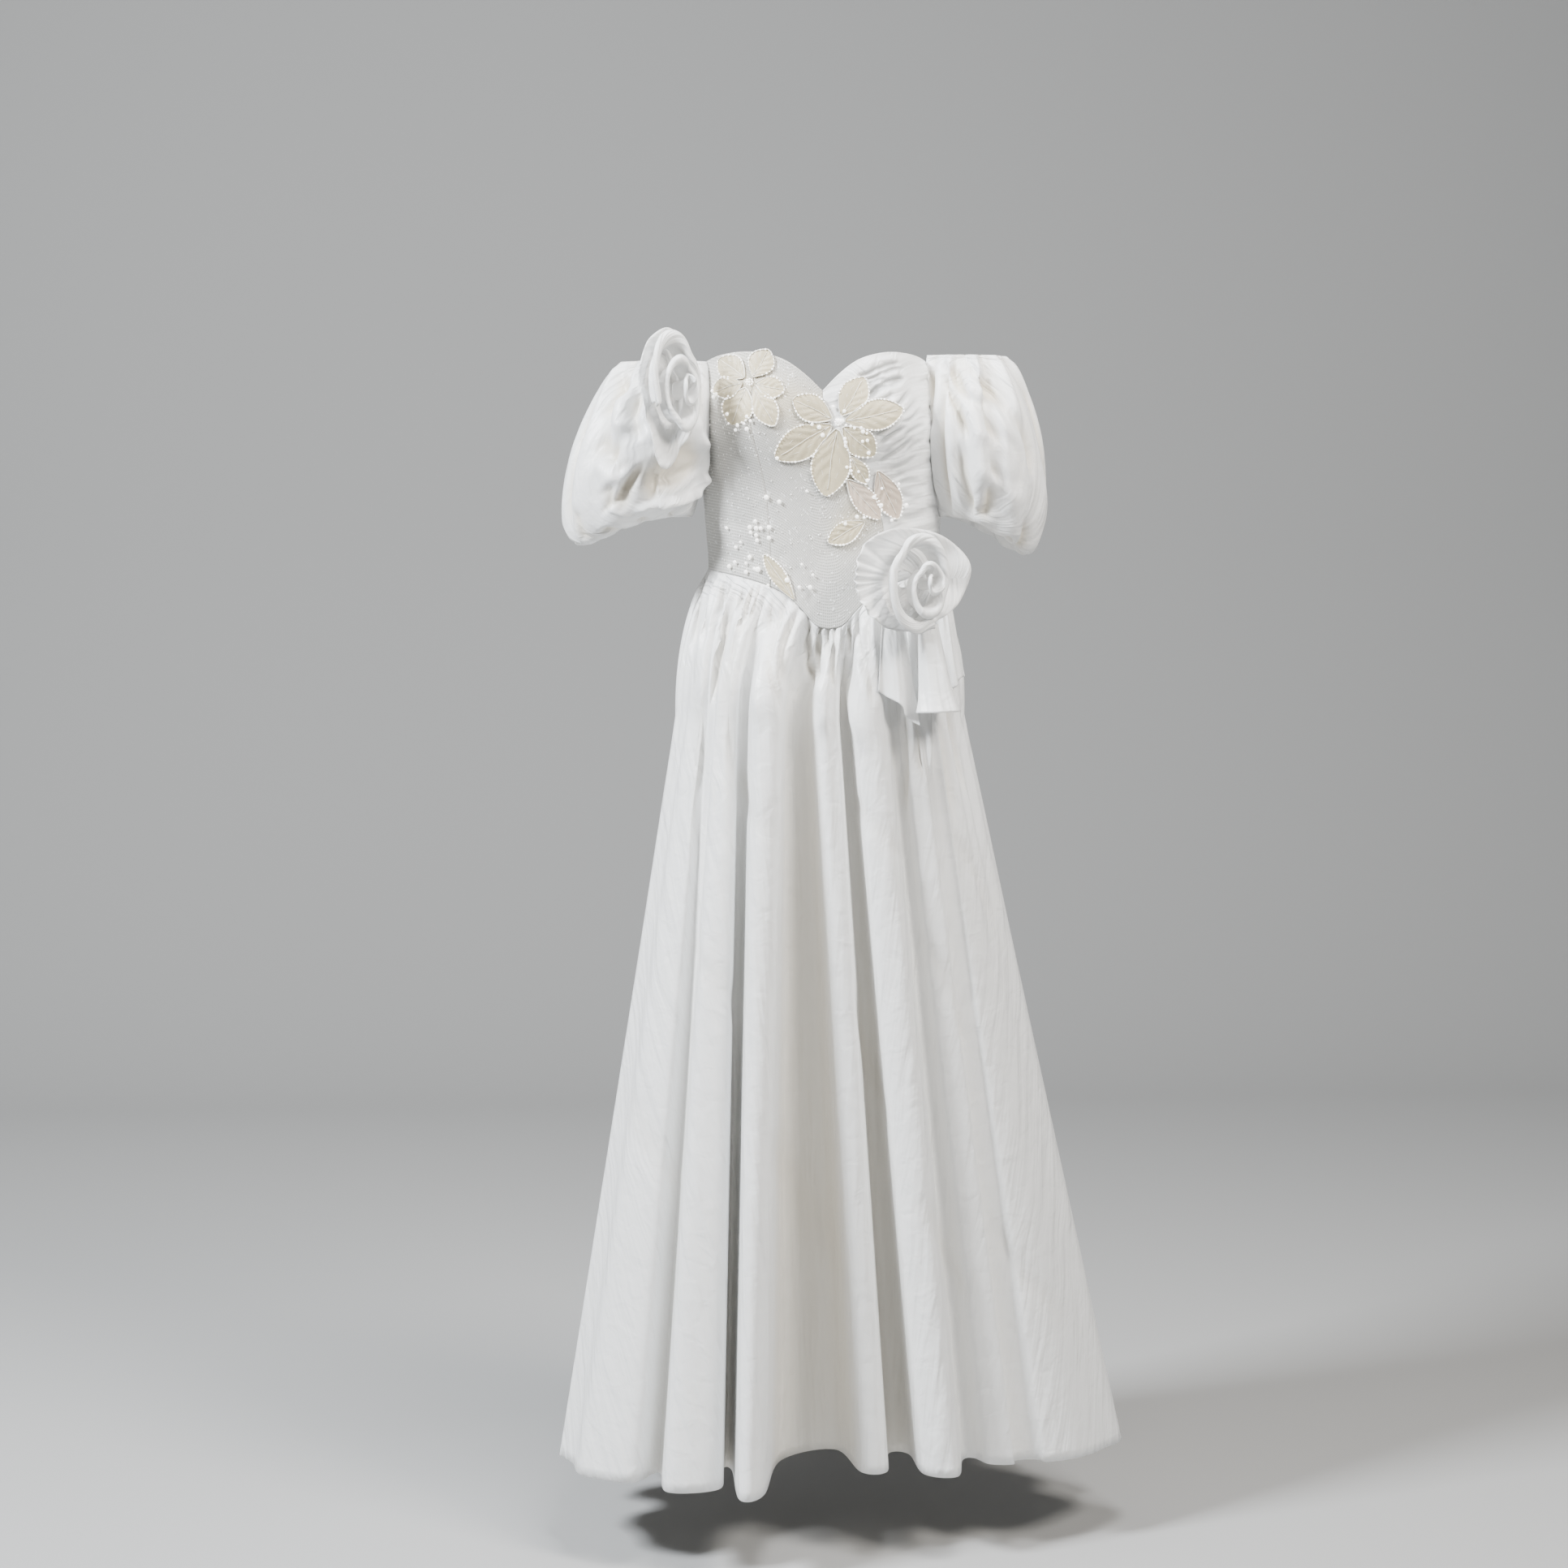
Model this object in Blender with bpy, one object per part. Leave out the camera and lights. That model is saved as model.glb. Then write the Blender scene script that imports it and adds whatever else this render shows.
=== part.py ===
"""A white satin wedding dress in the hollow shape that it has when it is worn, with nobody inside.

Sweetheart bodice with a pointed waist, one side draped, petals and leaves sewn across it, puffed sleeves
off the shoulder, a gathered floor-length skirt, and a rolled fabric rose on one sleeve and one hip.

Frame: metres, +Z up, the front faces -Y, the wearer's left is +X. The origin is the middle of the waist.
Azimuth is the angle round the body: 0 at the front, 90 at +X, 180 at the back.
"""
import math

import bmesh
import bpy
import numpy as np
from mathutils import Matrix, Vector
from mathutils.bvhtree import BVHTree

# Driving dimensions
SATIN = 0.0012          # wall of the skirt, sleeves, drape and roses
BODICE_WALL = 0.0018    # lace over boned satin
PETAL_WALL = 0.0009
SEAM_GAP = 0.0003
HEM_HEIGHT = -1.050
HIP_HEIGHT = -0.170
ZIP_WIDTH = 0.0062
ZIP_LOW = 0.10          # share of the skirt's length that the zip reaches down


# The skirt and body as closed curves and eased tables

def eased(at, knots, values):
    """A smooth curve through the rows of a table: a cubic between each two knots."""
    knots, values = np.asarray(knots, float), np.asarray(values, float)
    at = np.clip(at, knots[0], knots[-1])
    slope = np.gradient(values, knots)
    i = np.clip(np.searchsorted(knots, at, side="right") - 1, 0, len(knots) - 2)
    step = knots[i + 1] - knots[i]
    t = (at - knots[i]) / step
    return (values[i] * (1 + 2 * t) * (1 - t) ** 2 + values[i + 1] * t * t * (3 - 2 * t)
            + step * t * (1 - t) * (slope[i] * (1 - t) - slope[i + 1] * t))


def closed_spline(points, at):
    """A smooth closed curve through the points, read at fractional point numbers (Catmull-Rom)."""
    count = len(points)
    i = np.floor(at).astype(int)
    t = (at - i)[:, None]
    before, here, after, beyond = (points[(i + k) % count] for k in (-1, 0, 1, 2))
    return 0.5 * (2 * here + (after - before) * t
                  + (2 * before - 5 * here + 4 * after - beyond) * t ** 2
                  + (3 * here - before - 3 * after + beyond) * t ** 3)


def smooth(low, high, value):
    t = np.clip((value - low) / (high - low), 0, 1)
    return t * t * (3 - 2 * t)


# Solids made from grids of points

def normals_of(grid, wraps):
    """Outward unit normals of a grid whose rows run upwards and whose columns run round by azimuth."""
    if wraps:
        round_it = np.roll(grid, -1, axis=1) - np.roll(grid, 1, axis=1)
    else:
        round_it = np.gradient(grid, axis=1)
    up = np.gradient(grid, axis=0)
    normal = np.cross(round_it, up)
    return normal / np.linalg.norm(normal, axis=2, keepdims=True)


def add_mesh(name, points, faces, finish):
    mesh = bpy.data.meshes.new(name)
    mesh.from_pydata([tuple(p) for p in points], [], faces)
    mesh.materials.append(finish)
    mesh.shade_smooth()
    mesh.set_sharp_from_angle(angle=math.radians(50))
    piece = bpy.data.objects.new(name, mesh)
    bpy.context.scene.collection.objects.link(piece)
    return piece


def wall(name, outer, finish, thickness=SATIN, wraps=False, inner=None):
    """A closed wall between a grid of outer points and the same grid moved inwards by the thickness."""
    rows, columns = outer.shape[:2]
    if inner is None:
        inner = outer - thickness * normals_of(outer, wraps)
    number = np.arange(rows * columns).reshape(rows, columns)
    back = number + rows * columns
    if wraps:
        number, back = (np.hstack([n, n[:, :1]]) for n in (number, back))
    faces = []

    def strip(a, b, c, d):
        faces.extend(zip(a.ravel().tolist(), b.ravel().tolist(), c.ravel().tolist(), d.ravel().tolist()))

    strip(number[:-1, :-1], number[:-1, 1:], number[1:, 1:], number[1:, :-1])
    strip(back[:-1, :-1], back[1:, :-1], back[1:, 1:], back[:-1, 1:])
    strip(number[0, 1:], number[0, :-1], back[0, :-1], back[0, 1:])
    strip(number[-1, :-1], number[-1, 1:], back[-1, 1:], back[-1, :-1])
    if not wraps:
        strip(number[:-1, 0], number[1:, 0], back[1:, 0], back[:-1, 0])
        strip(number[1:, -1], number[:-1, -1], back[:-1, -1], back[1:, -1])
    points = np.vstack([outer.reshape(-1, 3), inner.reshape(-1, 3)])
    return add_mesh(name, points, faces, finish)


def trimmed(grid, left, right):
    """The grid with its first and last columns drawn in, so that two panels don't touch at their seam."""
    grid = grid.copy()
    for edge, neighbour, amount in ((0, 1, left), (-1, -2, right)):
        along = grid[:, neighbour] - grid[:, edge]
        length = np.linalg.norm(along, axis=1, keepdims=True)
        grid[:, edge] += along / length * np.reshape(amount, (-1, 1))
    return grid


def finish(name, colour, roughness, metallic=0.0):
    made = bpy.data.materials.new(name)
    made.use_nodes = True
    shader = made.node_tree.nodes["Principled BSDF"]
    shader.inputs["Base Color"].default_value = (*colour, 1)
    shader.inputs["Roughness"].default_value = roughness
    shader.inputs["Metallic"].default_value = metallic
    return made


# Bodice: one fitted surface that all its panels are cut from

# height, half width, front depth, back depth, sideways shift of the section's centre
BODICE_SECTIONS = np.array([
    (-0.090, 0.143, 0.112, 0.110, 0.007),
    (0.000, 0.1335, 0.101, 0.092, 0.008),
    (0.060, 0.1365, 0.102, 0.091, 0.007),
    (0.120, 0.138, 0.105, 0.094, 0.004),
    (0.180, 0.138, 0.108, 0.097, 0.000),
    (0.260, 0.133, 0.104, 0.094, -0.003),
])
# azimuth, height of the top edge: the notch, the cup's peak, under the arm, centre back
TOP_EDGE = np.array([(0, 0.203), (9, 0.220), (20, 0.236), (35, 0.246), (58, 0.245), (80, 0.232),
                     (100, 0.216), (130, 0.202), (180, 0.196)])
# azimuth, height of the waist seam: the point, its flank, the hip, the back
WAIST_SEAM = np.array([(0, -0.067), (8, -0.063), (16, -0.047), (24, -0.032), (36, -0.019), (52, -0.009),
                       (75, -0.002), (100, 0.0), (180, 0.0)])
SQUARENESS = 2.25       # power of the section's superellipse
CUP_DEPTH, CUP_AZIMUTH, CUP_HEIGHT = 0.017, 38.0, 0.168
CUP_SPREAD, CUP_TALL = 25.0, 0.050


def top_edge(azimuth):
    return eased(np.abs(azimuth), *TOP_EDGE.T)


def waist_seam(azimuth):
    return eased(np.abs(azimuth), *WAIST_SEAM.T)


def body(azimuth, height, out=0.0):
    """A point of the bodice's surface: a superellipse at each height, with two cups, moved out radially."""
    heights, half, front, back, shift = BODICE_SECTIONS.T
    turn = np.radians(azimuth)
    across, ahead = np.sin(turn), -np.cos(turn)
    depth = np.where(ahead < 0, eased(height, heights, front), eased(height, heights, back))
    radius = ((np.abs(across) / eased(height, heights, half)) ** SQUARENESS
              + (np.abs(ahead) / depth) ** SQUARENESS) ** (-1 / SQUARENESS)
    cup = (np.exp(-((np.abs(azimuth) - CUP_AZIMUTH) / CUP_SPREAD) ** 2
                  - ((height - CUP_HEIGHT) / CUP_TALL) ** 2))
    radius = radius + CUP_DEPTH * cup + out
    return np.stack([radius * across + eased(height, heights, shift), radius * ahead,
                     height + np.zeros_like(radius)], axis=-1)


def right_side(share):
    return -90.0 + 0 * share


def left_side(share):
    return 90.0 + 0 * share


def centre_back(share):
    return 180.0 + 0 * share


def centre_back_from_right(share):
    return -180.0 + 0 * share


def princess_seam(share):
    return -36.0 - 2.0 * share


DRAPE_FOOT = 36.0       # azimuth where the draped side starts at the waist


def drape_seam(share):
    """From the neckline's notch slantwise down to the front of the hip."""
    return DRAPE_FOOT * smooth(1.0, 0.18, share) * (1 - 0.12 * share)


# name, seam on the wearer's right or nearer the front, the other seam, columns, rows
# A seam is an azimuth for each share of the height from waist to top. Where two panels meet,
# the rows of one are a whole multiple of the other's.
BODICE_PANELS = [
    ("bodice_side_right", right_side, princess_seam, 7, 9),
    ("bodice_front", princess_seam, drape_seam, 9, 17),
    ("bodice_drape_left", drape_seam, left_side, 9, 33),
    ("bodice_back_left", left_side, centre_back, 8, 9),
    ("bodice_back_right", centre_back_from_right, right_side, 8, 9),
]


DRAPE_FOLDS = 10
FOLD_HEIGHT = 0.0024


def between_seams(azimuth, share):
    """1 on the draped panel, falling to 0 at its slanting seam and at its side seam."""
    from_seam = (azimuth - drape_seam(share)) / 12.0
    to_side = (90.0 - azimuth) / 9.0
    return np.clip(from_seam, 0, 1) * np.clip(to_side, 0, 1)


def drape_folds(azimuth, share):
    """Gathers that fan up and outwards from the slanting seam, deeper over the cup."""
    slant = (azimuth - drape_seam(share)) / 90.0
    phase = 2 * math.pi * DRAPE_FOLDS * (share - 0.16 * slant * (0.3 + share))
    ends = smooth(0.0, 0.04, share) * smooth(1.0, 0.965, share)
    return FOLD_HEIGHT * between_seams(azimuth, share) * ends * (0.5 + 0.5 * np.cos(phase))


def panel_azimuth(left, right, columns, share):
    across = np.linspace(0, 1, columns)[None, :]
    return left(share) * (1 - across) + right(share) * across


def straight_edges(grid, left_step, right_step):
    """The grid with its side edges straight between every so many rows, to meet a panel with fewer rows."""
    rows = np.arange(len(grid))
    for edge, step in ((0, left_step), (-1, right_step)):
        kept = rows[::step]
        for axis in range(3):
            grid[:, edge, axis] = np.interp(rows, kept, grid[kept, edge, axis])
    return grid


def bodice_panel(name, left, right, columns, rows, finish, steps, trims, folds=None):
    share = np.linspace(0, 1, rows)[:, None]
    azimuth = panel_azimuth(left, right, columns, share)
    low, high = waist_seam(azimuth) + SEAM_GAP / 2, top_edge(azimuth)
    height = low + (high - low) * share
    raised = 0.0 if folds is None else folds(azimuth, share)
    faces = [trimmed(straight_edges(body(azimuth, height, raised - depth), *steps), *trims)
             for depth in (0.0, BODICE_WALL)]
    wall(name, faces[0], finish, inner=faces[1])


def bodice(lace, satin):
    half = SEAM_GAP / 2
    zip_half = ZIP_WIDTH / 2 + SEAM_GAP
    # finish, how many of its rows make one of the neighbour's on each side, gaps left at the sides, folds
    details = {
        "bodice_side_right": (lace, (1, 1), (half, half)),
        "bodice_front": (lace, (2, 1), (half, half)),
        "bodice_drape_left": (satin, (2, 4), (half, half), drape_folds),
        "bodice_back_left": (lace, (1, 1), (half, zip_half)),
        "bodice_back_right": (lace, (1, 1), (zip_half, half)),
    }
    for panel in BODICE_PANELS:
        bodice_panel(*panel, *details[panel[0]])


WAIST_KNOTS = np.unique(np.concatenate([
    panel_azimuth(left, right, columns, np.zeros((1, 1)))[0] % 360
    for _, left, right, columns, _ in BODICE_PANELS]).round(6))


def on_waist(azimuth):
    """The waist seam, straight between the columns of the bodice so that skirt and bodice meet evenly."""
    knots = body((WAIST_KNOTS + 180) % 360 - 180, waist_seam((WAIST_KNOTS + 180) % 360 - 180))
    return np.column_stack([np.interp(azimuth % 360, WAIST_KNOTS, knots[:, axis], period=360)
                            for axis in range(3)])


# Skirt: three gathered panels. The cloth hangs in straight folds from a ring at the hip to the hem.

# Each row is a ridge or the hollow after it, going round from the front by azimuth, in millimetres:
# x and y at the hip, half its breadth there, x and y at the hem, half its breadth there
SKIRT_TURNS = np.array([
    (2, -127, 11, 60, -120, 15),       # front ridge beside the point
    (26, -101, 4, 96, -54, 12),
    (50, -134, 14, 136, -138, 20),     # broad ridge under the hip rose
    (80, -106, 5, 176, -80, 8),
    (100, -116, 9, 212, -102, 14),     # wide side panel with one soft hollow
    (120, -102, 6, 242, -88, 12),
    (137, -90, 8, 284, -92, 17),
    (153, -64, 8, 334, -60, 16),
    (170, -26, 12, 369, -4, 18),       # outline on the wearer's left
    (163, 14, 6, 340, 44, 12),
    (168, 46, 10, 334, 104, 22),
    (146, 72, 6, 270, 122, 18),
    (138, 102, 12, 266, 196, 26),
    (110, 104, 7, 204, 172, 20),
    (96, 132, 13, 190, 250, 27),
    (66, 122, 7, 132, 204, 20),
    (50, 148, 12, 106, 281, 27),
    (25, 128, 7, 55, 224, 20),
    (0, 152, 14, 8, 288, 28),          # centre back
    (-26, 127, 7, -46, 226, 18),
    (-51, 146, 12, -90, 272, 24),
    (-72, 118, 7, -124, 196, 16),
    (-96, 126, 12, -166, 238, 24),
    (-110, 98, 7, -186, 162, 18),
    (-134, 94, 11, -240, 178, 24),
    (-140, 60, 6, -238, 108, 16),
    (-160, 38, 10, -290, 92, 20),
    (-154, 8, 6, -272, 40, 12),
    (-164, -20, 9, -302, -8, 18),      # outline on the wearer's right
    (-156, -46, 6, -296, -52, 14),
    (-144, -78, 9, -252, -124, 32),
    (-128, -88, 5, -193, -110, 5),
    (-110, -114, 10, -153, -173, 30),
    (-90, -99, 5, -111, -100, 6),
    (-66, -140, 15, -88, -202, 16),    # narrow front ridge, the lowest at the hem
    (-28, -98, 11, -12, -50, 38),      # deep hollow between the legs
]) / 1000.0
COLUMNS_A_TURN = 4
SKIRT_SHARES = np.array([0, 0.012, 0.030, 0.062, 0.10, 0.155, 0.33, 0.60, 1.0])
GATHERS = 36
GATHER_DEPTH = 0.0030


def ring_of_turns(points, breadth):
    """Two points for each ridge and hollow, set apart along the line that joins its neighbours."""
    ahead = np.roll(points, -1, axis=0) - np.roll(points, 1, axis=0)
    ahead = ahead / np.linalg.norm(ahead, axis=1, keepdims=True)
    pairs = np.stack([points - ahead * breadth[:, None], points + ahead * breadth[:, None]], axis=1)
    return pairs.reshape(-1, 2)


HIP_RING = ring_of_turns(SKIRT_TURNS[:, 0:2], SKIRT_TURNS[:, 2])
HEM_RING = ring_of_turns(SKIRT_TURNS[:, 3:5], SKIRT_TURNS[:, 5])
RING_POINTS = len(HIP_RING)
SIDE_TURN = 17.0        # the point numbers that hang from the side seams and the centre back
BACK_TURN = 36.5
OTHER_SIDE_TURN = 57.0


def waist_azimuth(at):
    """Azimuth at the waist of each point number: the side seams and centre back hang from where they are sewn."""
    numbers = [-0.5, SIDE_TURN, BACK_TURN, OTHER_SIDE_TURN, RING_POINTS - 0.5]
    return np.interp((at + 0.5) % RING_POINTS - 0.5, numbers, [0.0, 90.0, 180.0, 270.0, 360.0])


def skirt(at, share):
    """A point of the skirt: from the waist seam out to the hip ring, then straight down to the hem ring."""
    azimuth = waist_azimuth(at)
    nearest = np.abs(azimuth[:, None] - WAIST_KNOTS).argmin(axis=0)
    azimuth[nearest] = WAIST_KNOTS
    top = on_waist(azimuth) - (0, 0, SEAM_GAP / 2)
    hip = np.column_stack([closed_spline(HIP_RING, at), np.full(len(at), HIP_HEIGHT)])
    hem = np.column_stack([closed_spline(HEM_RING, at), np.full(len(at), HEM_HEIGHT)])
    out = top.copy()
    out[:, 2] = 0.0
    out[:, 1] /= 0.85
    out /= np.linalg.norm(out, axis=1, keepdims=True)
    points = np.empty((len(share), len(at), 3))
    hip_share = 0.155
    for row, s in enumerate(share):
        if s <= hip_share:
            t = s / hip_share
            points[row] = top * (1 - t) ** 2 + hip * (1 - (1 - t) ** 2)
            points[row, :, 2] = top[:, 2] + (HIP_HEIGHT - top[:, 2]) * t
        else:
            t = (s - hip_share) / (1 - hip_share)
            points[row] = hip + (hem - hip) * t
        placket = 1 - np.exp(-((at - BACK_TURN) / 1.6) ** 2)
        strength = GATHER_DEPTH * smooth(-0.004, 0.03, s) * (1 - smooth(0.05, 0.20, s))
        ripple = np.cos(2 * math.pi * GATHERS * (at - 0.5) / RING_POINTS)
        points[row] += out * (strength * ripple * placket)[:, None]
    return points


def skirt_panels(satin):
    half = SEAM_GAP / 2
    shares = SKIRT_SHARES[::-1]
    zip_half = np.where(shares <= ZIP_LOW, ZIP_WIDTH / 2 + SEAM_GAP, half)
    columns = RING_POINTS * COLUMNS_A_TURN // 2
    outer = skirt(np.arange(columns) * 2 / COLUMNS_A_TURN, shares)
    inner = outer - SATIN * normals_of(outer, True)
    seam = outer[-1] * (1, 1, 0)
    inner[-1] = outer[-1] - SATIN * seam / np.linalg.norm(seam, axis=1, keepdims=True)

    def panel(name, first, last, left, right):
        cut = np.arange(round(first * COLUMNS_A_TURN / 2), round(last * COLUMNS_A_TURN / 2) + 1) % columns
        wall(name, trimmed(outer[:, cut], left, right), satin, inner=trimmed(inner[:, cut], left, right))

    panel("skirt_front", OTHER_SIDE_TURN - RING_POINTS, SIDE_TURN, half, half)
    panel("skirt_back_left", SIDE_TURN, BACK_TURN, half, zip_half)
    panel("skirt_back_right", BACK_TURN, OTHER_SIDE_TURN, zip_half, half)
    centre_line = outer[:, round(BACK_TURN * COLUMNS_A_TURN / 2)][::-1]
    return centre_line[SKIRT_SHARES <= ZIP_LOW]


# Sleeves: a puffed tube round each upper arm, drawn in at both ends, lying along the bodice on its inner side

# side of the wearer (+1 left), centre of the top ring in x and z, its half width and half depth,
# centre of the lower ring in x, y and z, its radius, fullness low and high, sag low and high
SLEEVES = {
    "sleeve_left": (1, 0.168, 0.246, 0.052, 0.066, 0.178, -0.004, 0.060, 0.044, 1.0, 1.0, 1.14, 1.0),
    "sleeve_right": (-1, -0.174, 0.238, 0.054, 0.068, -0.192, -0.004, 0.060, 0.047, 1.6, 1.05, 0.84, 1.15),
}
# inwards or outwards (0 inner side, 1 outer), reach and drop of the lower bubble, reach and drop below the top
PUFF = np.array([(0, 0.004, -0.020, 0.006, 0.060), (0.5, 0.034, 0.030, 0.078, 0.070),
                 (1, 0.040, 0.122, 0.090, 0.110)])
PUFF_ROWS = np.array([0, 0.05, 0.12, 0.23, 0.37, 0.52, 0.67, 0.81, 0.92, 1.0])
SLEEVE_COLUMNS, SLEEVE_GATHERS = 44, 11
RING_SQUARENESS = 2.3   # power of the top ring's superellipse
SLEEVE_CLEARANCE = 0.0006
BACK_DROP = 0.030       # the top ring falls this much towards the back, like the neckline


def polar(points):
    """Azimuth in degrees and distance from the middle of the bodice's section, of each point."""
    heights, shift = BODICE_SECTIONS.T[[0, 4]]
    x = points[..., 0] - eased(points[..., 2], heights, shift)
    return np.degrees(np.arctan2(x, -points[..., 1])), np.hypot(x, points[..., 1])


def ridge_height(azimuth, height):
    """How far the ridges of the drape stand out from the bodice's surface."""
    low, high = waist_seam(azimuth), top_edge(azimuth)
    share = np.clip((height - low) / (high - low), 0, 1)
    draped = (azimuth > drape_seam(share)) & (azimuth < 90)
    return np.where(draped, FOLD_HEIGHT * between_seams(azimuth, share), 0)


def bodice_radius(azimuth, height, panels):
    """Distance from the middle out to the bodice, over the ridges of the drape and over the panels' facets."""
    shape = np.broadcast(azimuth, height).shape
    azimuth, height = (np.broadcast_to(value, shape).ravel() for value in (azimuth, height))
    surface = body(azimuth, height, ridge_height(azimuth, height))
    inwards = body(azimuth, height, -0.01) - body(azimuth, height)
    reach = polar(surface)[1]
    for number, (point, towards) in enumerate(zip(surface, inwards)):
        start = point - 2 * towards
        hit = panels.ray_cast(Vector(start), Vector(towards), 0.05)[0]
        if hit is not None:
            reach[number] = max(reach[number], polar(np.array(hit))[1])
    return reach.reshape(shape)


def clear_of_body(points, clearance, panels):
    """Points nearer the middle than the bodice's surface are moved out to it."""
    azimuth, radius = polar(points)
    push = np.maximum((bodice_radius(azimuth, points[..., 2], panels) + clearance) / radius, 1.0)
    turn = np.radians(azimuth)
    moved = points.copy()
    moved[..., 0] += radius * np.sin(turn) * (push - 1)
    moved[..., 1] -= radius * np.cos(turn) * (push - 1)
    return moved


def sleeve_surface(side, top_x, top_z, top_wide, top_deep, low_x, low_y, low_z, low_radius,
                   full_low, full_high, sag_low, sag_high, columns, rows, panels):
    azimuth = np.radians(np.arange(columns) * 360.0 / columns)[None, :]
    ahead, aside = -np.cos(azimuth), np.sin(azimuth)
    outward = (1 + side * aside) / 2
    corner = (np.abs(ahead) ** RING_SQUARENESS + np.abs(aside) ** RING_SQUARENESS) ** (-1 / RING_SQUARENESS)
    reach_low, drop_low, reach_high, drop_high = (eased(outward, PUFF[:, 0], PUFF[:, k]) for k in (1, 2, 3, 4))
    ends = [
        (low_x + low_radius * aside, low_y + low_radius * ahead, low_z + 0 * aside),
        (low_x + (low_radius + full_low * reach_low) * aside, low_y + (low_radius + reach_low) * ahead,
         low_z - sag_low * drop_low),
        (top_x + (top_wide + full_high * reach_high) * aside, (top_deep + reach_high) * ahead,
         top_z - sag_high * drop_high),
        (top_x + top_wide * corner * aside, top_deep * corner * ahead,
         top_z - BACK_DROP * smooth(-0.2, 1.0, ahead)),
    ]
    t = rows[:, None]
    weights = ((1 - t) ** 3, 3 * t * (1 - t) ** 2, 3 * t * t * (1 - t), t ** 3)
    points = sum(weight[..., None] * np.stack(np.broadcast_arrays(*end), axis=-1)
                 for weight, end in zip(weights, ends))
    fold = np.sin(SLEEVE_GATHERS * azimuth + 0.9 * np.sin(2 * azimuth) * side)
    fold = fold * (1 + 0.35 * np.sin(3 * azimuth + 1.3 * side))
    strength = 0.0034 + 0.0026 * smooth(0.5, 1.0, t) + 0.0012 * smooth(0.3, 0.0, t)
    strength = strength * smooth(0.0, 0.06, t) * (1 - 0.6 * smooth(0.97, 1.0, t)) * (0.25 + 0.75 * outward)
    points[..., 0] += strength * fold * aside
    points[..., 1] += strength * fold * ahead
    return clear_of_body(points, SLEEVE_CLEARANCE, panels)


def sleeves(satin, panels):
    for name, shape in SLEEVES.items():
        wall(name, sleeve_surface(*shape, SLEEVE_COLUMNS, PUFF_ROWS, panels), satin, wraps=True)


# Roses and their hanging folds. Their own frame: x across, y up, z out from the dress.

RUFFLE_COLUMNS, RUFFLE_PLEATS = 48, 12
COIL_TURNS = 2.5
COIL_COLUMNS = 48
# share of the strip's height: how far it leans outwards, how high it stands
COIL_LEAN = np.array([(0, 0.0, 0.0), (0.45, -0.001, 0.014), (0.8, 0.005, 0.024), (1, 0.011, 0.022)])
# share of the roll from its bud outwards: its radius, how far its middle lies to the side
COIL_ROLL = np.array([(0, 0.0040, 0.013), (0.22, 0.0080, 0.013), (0.40, 0.0118, 0.012), (0.56, 0.0215, 0.006),
                      (0.70, 0.0285, 0.002), (1, 0.0335, 0.0)])


def placed(grid, centre, azimuth, tilt):
    """Points of a rose's own frame set on the dress: z looks out by azimuth, tilted up by tilt, in degrees."""
    turn, lean = math.radians(azimuth), math.radians(tilt)
    across = np.array([math.cos(turn), math.sin(turn), 0])
    out = np.array([math.sin(turn) * math.cos(lean), -math.cos(turn) * math.cos(lean), math.sin(lean)])
    up = np.cross(out, across)
    return centre + grid @ np.array([across, up, out])


# Longer lobes of each ruffle: angle, width in degrees, share of its radius added, how far it lifts
HIP_LOBES = [(20, 34, 0.05, 0.004), (62, 26, 0.03, -0.003)]
SLEEVE_LOBES = [(92, 26, 0.06, 0.003), (252, 22, 0.46, 0.002), (180, 60, 0.0, -0.006)]


def ruffle(wide, high, lobes):
    """A ring of cloth cupped towards the front, with pleats that open towards its edge. A lobe is where the
    ring reaches further out."""
    turn = np.linspace(0, 2 * math.pi, RUFFLE_COLUMNS, endpoint=False)[None, :]
    share = np.linspace(0, 1, 4)[:, None]
    radius = 0.16 + 0.84 * share + 0.035 * np.sin(3 * turn + 1) * share
    lift = 0.002 + 0.015 * share ** 2 + 0.0026 * share * np.sin(RUFFLE_PLEATS * turn + 0.7 * np.sin(turn))
    for angle, width, reach, rise in lobes:
        aside = (np.degrees(turn) - angle + 180) % 360 - 180
        bulge = np.exp(-(aside / width) ** 2)
        radius = radius + reach * bulge * share ** 2
        lift = lift + rise * bulge * share ** 3
    return np.stack([wide * radius * np.cos(turn), high * radius * np.sin(turn),
                     lift * np.ones_like(turn)], axis=-1)[::-1]


def coil(wide, high, start):
    """A strip of cloth rolled round its bud, tightly at first and then open, its upper edge turned outwards."""
    turn = np.linspace(0, 1, COIL_COLUMNS)[None, :]
    angle = start + 2 * math.pi * COIL_TURNS * turn
    radius, aside = (eased(turn, COIL_ROLL[:, 0], COIL_ROLL[:, k]) for k in (1, 2))
    radius = radius + COIL_LEAN[:, 1][:, None] * (0.25 + 0.75 * turn)
    stand = COIL_LEAN[:, 2][:, None] * (1.25 - 0.35 * turn + 0.07 * np.sin(5 * angle / 2))
    return np.stack([aside + wide * radius * np.cos(angle), high * radius * np.sin(angle), stand], axis=-1)


def hanging_fold(top, foot, wide_top, wide_foot, slope, waves, depth, columns, rows):
    """Cloth that hangs from a gathered top, waved across, its lower edge cut aslant."""
    across = np.linspace(-1, 1, columns)[None, :]
    down = np.linspace(0, 1, rows)[:, None]
    length = 1 + slope * across
    centre = [a + (b - a) * down * length for a, b in zip(top, foot)]
    half = wide_top + (wide_foot - wide_top) * down
    lift = depth * (0.25 + 0.75 * down) * (1 + np.cos(math.pi * waves * (across + 0.15)))
    return np.stack([centre[0] + half * across, centre[1] + 0 * across, centre[2] + lift], axis=-1)[::-1]


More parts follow.
